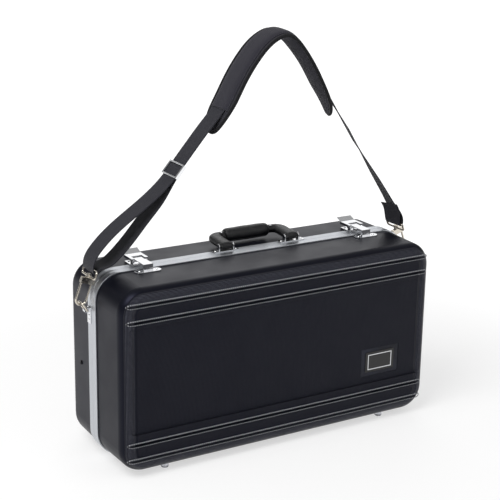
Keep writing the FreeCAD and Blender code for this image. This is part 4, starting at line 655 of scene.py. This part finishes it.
def band(name, line, y, width, thickness, body, material, twist):
    """A band whose line lies in X-Z: each outline point is the line's place plus its across in Y
    and its rise along the line's inner side, after across and rise are turned by the twist there.
    UV is across and the distance along."""
    outline, side = band_outline(width, thickness), inner_side(line)
    run = distance_along(line)
    across = outline[None, :, 0]
    turned = across * np.cos(twist)[:, None] - outline[None, :, 1] * np.sin(twist)[:, None]
    rise = across * np.sin(twist)[:, None] + outline[None, :, 1] * np.cos(twist)[:, None]
    x = line[:, 0, None] + side[:, 0, None] * rise
    z = line[:, 1, None] + side[:, 1, None] * rise
    return tube(name, np.stack((x, y + turned, z), axis=-1), body, material, outline[:, 0], run)


def twist_at(along):
    """Radians that the strap is twisted at a distance from the right eye: webbing never hangs quite
    square, and between the eye and the pad this one shows the camera little but its edge."""
    return np.radians(np.interp(along, (0, 20, 37, 89, 146, 179, 224, 260, 290, 330, 380, 430),
                                (0, -5, -9, -13, -23, -28, -24, -15, -10, -8, -4, 0)))


strap_run = distance_along(strap_line)
eye_run = strap_run[np.argmin(np.linalg.norm(strap_line - (281.6, 317.0), axis=1))]
from_eye = np.where(strap_run < eye_run, eye_run - strap_run - 10.0, strap_run - eye_run)
strap = band("strap_band", strap_line, STRAP_Y, 38.0, WEBBING, "shoulder_strap", polypropylene,
             twist_at(np.maximum(from_eye, 0)))
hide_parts("strap_webbing")
print("webbing:", len(strap.data.polygons), "faces")

# %% Stitches
def stitches(name, spots, ways, ups, body, length=2.6, width=0.75, rise=0.4):
    """Short thread bars, one per spot: a ball of 8 by 5 points stretched along the way, squashed
    along the up, and copied to every spot at once by adding arrays."""
    around = np.radians(np.arange(0, 360, 45))[None, :]
    lat = np.radians((-90, -45, 0, 45, 90))[:, None]
    ball = np.stack(np.broadcast_arrays(np.sin(lat) * length / 2, np.cos(lat) * np.cos(around) * width / 2,
                                        np.cos(lat) * np.sin(around) * rise), axis=-1).reshape(-1, 3)
    sides = np.cross(ups, ways)
    frames = np.stack((ways, sides, ups), axis=1)
    placed = (spots[:, None, :] + np.einsum("bk,nkj->nbj", ball, frames)).reshape(-1, 3)
    quads = np.array(grid_faces(5, 8, ring=True))
    faces = (quads[None] + (np.arange(len(spots)) * len(ball))[:, None, None]).reshape(-1, 4)
    return new_piece(name, placed, faces.tolist(), body, thread)


leg_run = distance_along(leg)
leg_side = inner_side(leg)


def on_leg(along, across, rise):
    """Points from strap measures: the long leg's place at a distance along it, plus across in Y and
    rise towards the strap's inner side, both turned by the twist there."""
    twist = twist_at(along)
    turned = across * np.cos(twist) - rise * np.sin(twist)
    lifted = across * np.sin(twist) + rise * np.cos(twist)
    x = np.interp(along, leg_run, leg[:, 0]) + lifted * np.interp(along, leg_run, leg_side[:, 0])
    z = np.interp(along, leg_run, leg[:, 1]) + lifted * np.interp(along, leg_run, leg_side[:, 1])
    return np.stack(np.broadcast_arrays(x, STRAP_Y + turned, z), axis=-1)


def leg_up(along, rise_sign):
    """The leg's outward direction at a distance along it, as a unit vector in X, Y, Z."""
    return np.stack((np.interp(along, leg_run, leg_side[:, 0]), 0 * along,
                     np.interp(along, leg_run, leg_side[:, 1])), axis=-1) * rise_sign


def seam(name, path, rise, rise_sign, body="shoulder_strap", pitch=3.6):
    """A row of stitches on the leg along a path of (along, across) points, one every pitch."""
    path = np.asarray(path, float)
    run = distance_along(path)
    at = np.arange(pitch / 2, run[-1], pitch)
    along, across = np.interp(at, run, path[:, 0]), np.interp(at, run, path[:, 1])
    spots = on_leg(along, across, rise)
    ahead_spots = on_leg(along + 0.05 * np.gradient(along), across + 0.05 * np.gradient(across), rise)
    ways = ahead_spots - spots
    ways = ways / np.linalg.norm(ways, axis=1, keepdims=True)
    return stitches(name, spots, ways, leg_up(along, rise_sign), body)


seam("fold_stitches", [(18, -15), (33, -15), (33, 15), (18, 15), (18, -15), (33, 15), (33, -15), (18, 15)],
     -0.85, -1)
print("stitches over the sewn fold")

# %% [markdown]
# ## Shoulder pad
# The pad is foam in a nylon cover, cut as a long leaf with a bound edge. The webbing runs through a
# flat sleeve that is sewn along its back. The foam's swell comes from a cloth simulation: the pad is
# drawn flat, as it is cut and sewn, its edge and the sleeve's seams are held still, air pressure
# fills it, and the result is bent onto the strap's line. Sewn flat first is how the real one is made.

# %% Puffing by cloth simulation
scene = bpy.context.scene


def as_points(mesh):
    """A mesh's points as an array."""
    flat = np.empty(3 * len(mesh.vertices), dtype=np.float32)
    mesh.vertices.foreach_get("co", flat)
    return flat.reshape(-1, 3).astype(float)


def baked(obj):
    """The mesh that an object's modifiers give."""
    return bpy.data.meshes.new_from_object(obj.evaluated_get(bpy.context.evaluated_depsgraph_get()))


def puffed(name, mesh, voxel_mm, cap_mm, holds_still=None, pressure=4.0):
    """A closed mesh made of even quads and swollen by pressure for 20 steps. Each point moves by no
    more than the cap: a longer move is shortened to it. Held points don't move."""
    form = bpy.data.objects.new(name + "_form", mesh)
    scene.collection.objects.link(form)
    remesh = form.modifiers.new("even", "REMESH")
    remesh.mode, remesh.voxel_size = "VOXEL", voxel_mm * MM
    even = baked(form)
    form.modifiers.clear()
    form.data = even
    start = as_points(even)
    cloth = form.modifiers.new("cloth", "CLOTH")
    cloth.settings.use_pressure = True
    cloth.settings.uniform_pressure_force = pressure
    cloth.settings.effector_weights.gravity = 0.0
    cloth.settings.mass = 0.2
    if holds_still is not None:
        group = form.vertex_groups.new(name="held")
        group.add(np.flatnonzero(holds_still(start / MM)).tolist(), 1.0, "REPLACE")
        cloth.settings.vertex_group_mass = "held"
    for step in range(1, 21):
        scene.frame_set(step)
    swollen = as_points(form.evaluated_get(bpy.context.evaluated_depsgraph_get()).data)
    scene.frame_set(1)
    move = swollen - start
    length = np.linalg.norm(move, axis=1, keepdims=True)
    start = start + move * np.minimum(1.0, cap_mm * MM / np.maximum(length, 1e-9))
    even.vertices.foreach_set("co", start.astype(np.float32).ravel())
    bpy.data.objects.remove(form)
    return even, start / MM


def settle(obj, times):
    """Lets each point drift halfway to the middle of its neighbours, a number of times."""
    ease = obj.modifiers.new("ease", "SMOOTH")
    ease.factor, ease.iterations = 0.5, times


def soften(obj):
    """One subdivision, which rounds the quads off."""
    soft = obj.modifiers.new("soft", "SUBSURF")
    soft.levels, soft.render_levels = 1, 1


print("puffing:", "20 steps a piece")

# %% Pad
PAD_HALF, PAD_CROWN, PAD_EDGE, PAD_REST = 31.0, 12.0, 4.5, 1.4
TIP_LONG, TIP_DROP, TIP_FREE = 62.0, 10.0, 45.0
SLEEVE_HALF, SLEEVE_INSET = 24.5, 34
pad_first = float(np.interp(149.0, leg[::-1, 0], leg_run[::-1])) - 2.0
pad_last = float(np.interp(-87.0, leg[::-1, 0], leg_run[::-1])) + 2.0
pad_long = pad_last - pad_first


def pad_half(along):
    """Half the pad's width: level, and near a tip (1 - (1 - way) ^ 2.5) ^ (1 / 2.3)."""
    tip = np.clip(np.minimum(along, pad_long - along) / TIP_LONG, 0, 1)
    return PAD_HALF * np.maximum(1 - (1 - tip) ** 2.5, 0) ** (1 / 2.3)


def tip_droop(along):
    """How far a tip bends away from the webbing: most at the end, falling with the square of the
    way, because the foam is stiffer than the strap."""
    return TIP_DROP * np.clip(1 - np.minimum(along, pad_long - along) / TIP_FREE, 0, 1) ** 2


rows, columns = 90, 36
along = pad_long * (1 - np.cos(np.linspace(0.06, np.pi - 0.06, rows))) / 2
half = pad_half(along)[:, None]
around = np.linspace(0, 2 * np.pi, columns, endpoint=False)[None, :]
share = np.cos(around)
swell = np.minimum(1.0, half / PAD_HALF) * (PAD_CROWN - PAD_EDGE)
inner_rise = PAD_REST + PAD_EDGE + swell * (1 - share ** 2)
rise = np.where(np.sin(around) >= 0, PAD_REST + PAD_EDGE / 2 + (inner_rise - PAD_REST - PAD_EDGE / 2)
                * np.abs(np.sin(around)) ** 0.5,
                PAD_REST + PAD_EDGE / 2 - (PAD_EDGE / 2) * np.abs(np.sin(around)) ** 0.4)
flat_spots = np.stack(np.broadcast_arrays(along[:, None], half * share, rise), axis=-1).reshape(-1, 3)
flat_mesh = bpy.data.meshes.new("pad_flat")
flat_mesh.from_pydata((flat_spots * MM).tolist(), [],
                      grid_faces(rows, columns, ring=True) + end_faces(rows, columns))
if sum(poly.normal.z * poly.area for poly in flat_mesh.polygons if poly.center.z < 3 * MM) > 0:
    flat_mesh.flip_normals()


def pad_held(spots):
    """The pad's bound edge and the two seams of the sleeve on its back."""
    border = pad_half(spots[:, 0]) - np.abs(spots[:, 1])
    under_sleeve = (spots[:, 2] < PAD_REST + 1.5) & (np.abs(spots[:, 1]) < SLEEVE_HALF)
    return (border < 4.0) | under_sleeve


pad_mesh, pad_spots = puffed("shoulder_cushion", flat_mesh, 3.0, 4.0, pad_held)
bent = on_leg(pad_first + pad_spots[:, 0], pad_spots[:, 1], pad_spots[:, 2] + tip_droop(pad_spots[:, 0]))
cushion = new_piece("shoulder_cushion", bent, faces_of(pad_mesh), "shoulder_strap", nylon,
                    pad_spots[:, (1, 0)])
soften(cushion)
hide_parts("shoulder_pad")
print("pad: %.0f mm long" % pad_long)

# %% Binding, sleeve and their seams
def leg_tube(name, path, outline, material):
    """A closed outline carried round a closed path of (along, across, rise): outline x is away from
    the pad's middle line, outline y is the rise."""
    path = np.asarray(path, float)
    way = np.roll(path, -1, axis=0) - np.roll(path, 1, axis=0)
    way = way[:, :2] / np.linalg.norm(way[:, :2], axis=1, keepdims=True)
    away = np.stack((-way[:, 1], way[:, 0]), axis=1)
    if np.sum(away * (path[:, :2] - path[:, :2].mean(axis=0))) < 0:
        away = -away
    along = path[:, 0, None] + away[:, 0, None] * outline[None, :, 0]
    across = path[:, 1, None] + away[:, 1, None] * outline[None, :, 0]
    rise = path[:, 2, None] + outline[None, :, 1]
    run = np.cumsum(np.linalg.norm(path - np.roll(path, 1, axis=0), axis=1))
    swing = np.cumsum(np.linalg.norm(outline - np.roll(outline, 1, axis=0), axis=1))
    return tube(name, on_leg(along, across, rise), "shoulder_strap", material, swing, run, loop=True)


t = np.linspace(0.02, np.pi - 0.02, 110)
edge_along = pad_long * (1 - np.cos(t)) / 2
edge_path = np.concatenate((np.stack((edge_along, pad_half(edge_along)), axis=1),
                            np.stack((edge_along, -pad_half(edge_along)), axis=1)[::-1]))
middle_rise = PAD_REST + PAD_EDGE / 2
edge_path = np.column_stack((edge_path[:, 0] + pad_first, edge_path[:, 1],
                             middle_rise + tip_droop(edge_path[:, 0])))
bow = np.radians(np.arange(0, 360, 30))
cord = np.stack((-1.2 + 2.6 * np.cos(bow), 2.9 * np.sign(np.sin(bow)) * np.abs(np.sin(bow)) ** 0.7), axis=1)
leg_tube("pad_binding", edge_path, cord, tape)
sleeve_first, sleeve_last = pad_first + SLEEVE_INSET, pad_last - SLEEVE_INSET
sleeve_run = np.arange(sleeve_first, sleeve_last, 3.0)
profile = np.linspace(-1, 1, 25)
lift = 1.5 - 4.1 * (1 - np.abs(profile) ** 6) - 0.35 * (1 - profile ** 2)
ease = np.clip(np.minimum(sleeve_run - sleeve_first, sleeve_last - sleeve_run) / 5.0, 0, 1)[:, None]
outer = on_leg(sleeve_run[:, None], SLEEVE_HALF * profile[None, :], lift[None, :] + 0.8 * (1 - ease))
under = on_leg(sleeve_run[:, None], SLEEVE_HALF * profile[None, ::-1], np.full((1, 25), 1.55))
sleeve_spots = np.concatenate((outer, under), axis=1)
wide = np.concatenate((SLEEVE_HALF * profile, SLEEVE_HALF * profile[::-1]))
tube("pad_sleeve", sleeve_spots, "shoulder_strap", nylon, wide, sleeve_run)
for number, across in enumerate((-SLEEVE_HALF + 0.9, SLEEVE_HALF - 0.9)):
    seam("sleeve_stitches_%d" % number, [(sleeve_first, across), (sleeve_last, across)], 0.2, -1)
print("binding, sleeve and two seams")

# %% [markdown]
# ## Plush blocks inside
# The bed is foam glued under short plush. Foam cut with a wire has soft edges, and the plush rounds
# them further. Each packed block is copied and merged, made of even quads, and swollen a little by
# the same cloth simulation, so its faces are crowned and its edges are never sharp.

# %% Padded blocks
def merged_copy(node, name):
    """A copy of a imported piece's mesh with its loose triangles joined."""
    copy = bmesh.new()
    copy.from_mesh(nodes[node].data)
    bmesh.ops.remove_doubles(copy, verts=copy.verts, dist=0.01 * MM)
    mesh = bpy.data.meshes.new(name)
    copy.to_mesh(mesh)
    copy.free()
    return mesh


def padded_copy(node, body, name, voxel_mm, cap_mm):
    """A soft piece for a packed block: its merged copy, puffed, in plush."""
    soft_mesh, spots = puffed(name, merged_copy(node, name + "_copy"), voxel_mm, cap_mm)
    obj = new_piece(name, spots, faces_of(soft_mesh), body, plush)
    settle(obj, 4)
    soften(obj)
    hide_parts(node)
    return obj


blocks = (("bed_lining", "base", "bed_back_panel", 6.0, 1.5, 0.4),
          ("lid_lining", "lid", "lid_panel", 6.0, 1.5, 0.4),
          ("bed_divider", "base", "bed_long_wall", 4.0, 1.0, 0.6),
          ("bed_end_rest", "base", "bed_end_block", 4.0, 1.5, 0.7),
          ("valve_rest", "base", "valve_blocks", 4.0, 1.5, 0.7),
          ("pipe_rest", "base", "pipe_block", 4.0, 1.5, 0.7),
          ("bell_rest", "base", "bell_wedges", 4.0, 1.5, 0.7),
          ("mouthpiece_block", "base", "mouthpiece_holder", 3.5, 1.0, 0.7),
          ("accessory_lid", "accessory_cover", "pocket_flap", 3.0, 0.6, 0.6))
for node, body, name, voxel_mm, cap_mm, fill in blocks:
    piece = padded_copy(node, body, name, voxel_mm, cap_mm)
    print("%s: %d faces" % (name, len(piece.data.polygons)))

# %% [markdown]
# ## Ribbons
# Two grosgrain ribbons hold the lid when it is open, and a short loop of the same ribbon lifts the
# pocket's flap. A stay crosses the hinge, so it rides on no body.

# %% Lid stays and tab
STAY_MIDDLE, STAY_TOP, STAY_REACH = 3.5, 141.5, 48.0
STAY_WIDE, STAY_THICK, STAY_OUT, STAY_DROP = 12.0, 1.2, 270.2, 56
swing = np.linspace(0, np.pi, 33)
down = np.linspace(STAY_TOP + 6, STAY_TOP - STAY_DROP, 13)[:-1]
stay_path = np.concatenate((
    np.stack((np.full(12, STAY_MIDDLE + STAY_REACH), down), axis=1),
    np.stack((STAY_MIDDLE + STAY_REACH * np.cos(swing),
              STAY_TOP - STAY_DROP - STAY_REACH * np.sin(swing)), axis=1),
    np.stack((np.full(12, STAY_MIDDLE - STAY_REACH), down[::-1]), axis=1)))
stay_run = distance_along(stay_path)
stay_side = inner_side(stay_path)
outline = band_outline(STAY_WIDE, STAY_THICK, 9)
for side, sign in zip(sides, (-1, 1)):
    y = stay_path[:, 0, None] + stay_side[:, 0, None] * outline[None, :, 0]
    z = stay_path[:, 1, None] + stay_side[:, 1, None] * outline[None, :, 0]
    x = np.broadcast_to(sign * (STAY_OUT - outline[None, :, 1]), y.shape)
    stay = tube("lid_ribbon_" + side, np.stack((x, y, z), axis=-1), None, ribbon,
                outline[:, 0], stay_run)
    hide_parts("lid_stay_" + side)
    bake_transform(stay)
tab_line = smooth([(6.9, 289.0), (6.3, 282.0), (5.4, 275.0), (5.6, 271.6), (7.0, 272.2), (7.4, 277.0)], 0.8)
tab_side = inner_side(tab_line)
TAB_WIDE, TAB_THICK, TAB_X = 20.0, 0.7, -60.0
outline = band_outline(TAB_WIDE, TAB_THICK, 9)
y = tab_line[:, 0, None] + tab_side[:, 0, None] * outline[None, :, 1]
z = tab_line[:, 1, None] + tab_side[:, 1, None] * outline[None, :, 1]
x = np.broadcast_to(TAB_X + outline[None, :, 0], y.shape)
tab = tube("pocket_tab", np.stack((x, y, z), axis=-1), "accessory_cover", ribbon,
           outline[:, 0], distance_along(tab_line))
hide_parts("accessory_tab")
print("two stays and a tab")

# %% [markdown]
# ## Carrying handle
# The handle is a steel strap padded with foam and wrapped in imitation leather. It lies back on its
# pins, almost level, as a handle does when nobody holds it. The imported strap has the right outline,
# and cutting it into small even quads and letting each point drift to the middle of its neighbours
# rounds it as the foam does. Its faces are also sloped off towards both edges, like a sausage's. The
# grip is a roll drawn tight round the bar: circles whose radius swells at the middle and closes in an
# ellipse at the ends.

# %% Handle frame
LIE = np.radians(3.5)
HANDLE_X, AXIS_Y, AXIS_Z = 12.0, 11.0, 309.0
REACH, GRIP_HALF, GRIP_RADIUS = 42.0, 40.5, 10.9
WINDOW_HALF, WINDOW_REACH = 49.0, 35.5
CORNER_X, CORNER_REACH, CORNER_RADIUS = 53.0, 29.5, 19.0


def on_handle(x, reach, rise):
    """Points from handle measures: x along the pins, reach away from them, rise square to both."""
    y = AXIS_Y + reach * np.cos(LIE) - rise * np.sin(LIE)
    z = AXIS_Z + reach * np.sin(LIE) + rise * np.cos(LIE)
    return np.stack(np.broadcast_arrays(HANDLE_X + x, y, z), axis=-1)


def sausage(spots):
    """The strap's points with its rise rounded off towards both edges. A point's share is its way
    from the outer outline to the window, 0 to 1, and its rise is multiplied by
    (1 - |2 share - 1| ^ 3) ^ (1 / 3)."""
    y, z = spots[:, 1] - AXIS_Y, spots[:, 2] - AXIS_Z
    x, reach = spots[:, 0] - HANDLE_X, y * np.cos(LIE) + z * np.sin(LIE)
    rise = z * np.cos(LIE) - y * np.sin(LIE)
    inside = np.hypot(np.maximum(np.abs(x) - WINDOW_HALF, 0), np.maximum(reach - WINDOW_REACH, 0))
    off_x, off_y = np.abs(x) - CORNER_X, reach - CORNER_REACH
    corner = np.hypot(np.maximum(off_x, 0), np.maximum(off_y, 0))
    outside = CORNER_RADIUS - corner - np.minimum(np.maximum(off_x, off_y), 0)
    share = np.clip(outside / np.maximum(inside + outside, 0.1), 0, 1)
    return on_handle(x, reach, rise * np.maximum(1 - np.abs(2 * share - 1) ** 3, 0.05) ** (1 / 3))


even, spots = puffed("handle_wrap", merged_copy("handle_strap", "handle_copy"), 1.6, 0.4)
spots = sausage(spots)
wrap = new_piece("handle_wrap", spots, faces_of(even), "handle", hide)
settle(wrap, 14)
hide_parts("handle_strap")
print("handle wrap:", len(wrap.data.polygons), "faces")

# %% Grip
rows, columns = 72, 44
t = np.linspace(0.0, np.pi, rows)
long = -GRIP_HALF * np.sign(np.cos(t)) * np.abs(np.cos(t)) ** 0.7
close = np.clip((GRIP_HALF - np.abs(long)) / 7.0, 0, 1)
ends = 0.62 + 0.38 * np.sqrt(np.maximum(1 - (1 - close) ** 2, 0))
radius = (GRIP_RADIUS + 0.5 * np.cos(long / GRIP_HALF * np.pi / 2)) * ends
around = np.linspace(0, 2 * np.pi, columns, endpoint=False)
folds = 1 + 0.012 * np.sin(3 * around + 0.7)[None, :] * np.sin(long / GRIP_HALF * 9.0)[:, None]
spots = on_handle(long[:, None], REACH + radius[:, None] * folds * np.cos(around)[None, :],
                  radius[:, None] * folds * np.sin(around)[None, :])
grip = tube("grip_roll", spots, "handle", hide)
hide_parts("handle_grip")
print("grip: %.0f mm" % (2 * GRIP_HALF))

# %% Grip seam and rivets
SEAM_HALF, SEAM_PITCH, SEAM_RADIUS = 34.0, 3.4, 11.5
at = np.arange(-SEAM_HALF, SEAM_HALF + 0.1, SEAM_PITCH)
seam_side = np.radians(215)
seam_spots = on_handle(at, REACH + SEAM_RADIUS * np.cos(seam_side),
                       SEAM_RADIUS * np.sin(seam_side) + 0.0 * at)
seam_up = on_handle(0.0, np.cos(seam_side), np.sin(seam_side)) - on_handle(0.0, 0.0, 0.0)
stitches("grip_stitches", seam_spots, np.tile((1.0, 0.0, 0.0), (len(at), 1)),
         np.tile(seam_up, (len(at), 1)), "handle")


def button(name, x, reach, rise, radius, high):
    """A rivet's domed head on the handle: a half ellipse turned round its own axis."""
    out, turn = np.radians(np.linspace(0, 90, 7)), np.radians(np.arange(0, 360, 20))
    spots = on_handle(x + radius * np.cos(out)[:, None] * np.cos(turn)[None, :],
                      reach + radius * np.cos(out)[:, None] * np.sin(turn)[None, :],
                      rise + high * np.sin(out)[:, None] + 0.0 * turn[None, :])
    return tube(name, spots, "handle", chrome)


for side, sign in zip(sides, (-1, 1)):
    button("grip_rivet_" + side, sign * 46.0, REACH - 2.0, 6.3, 2.0, 1.3)
print("seam and two rivets")
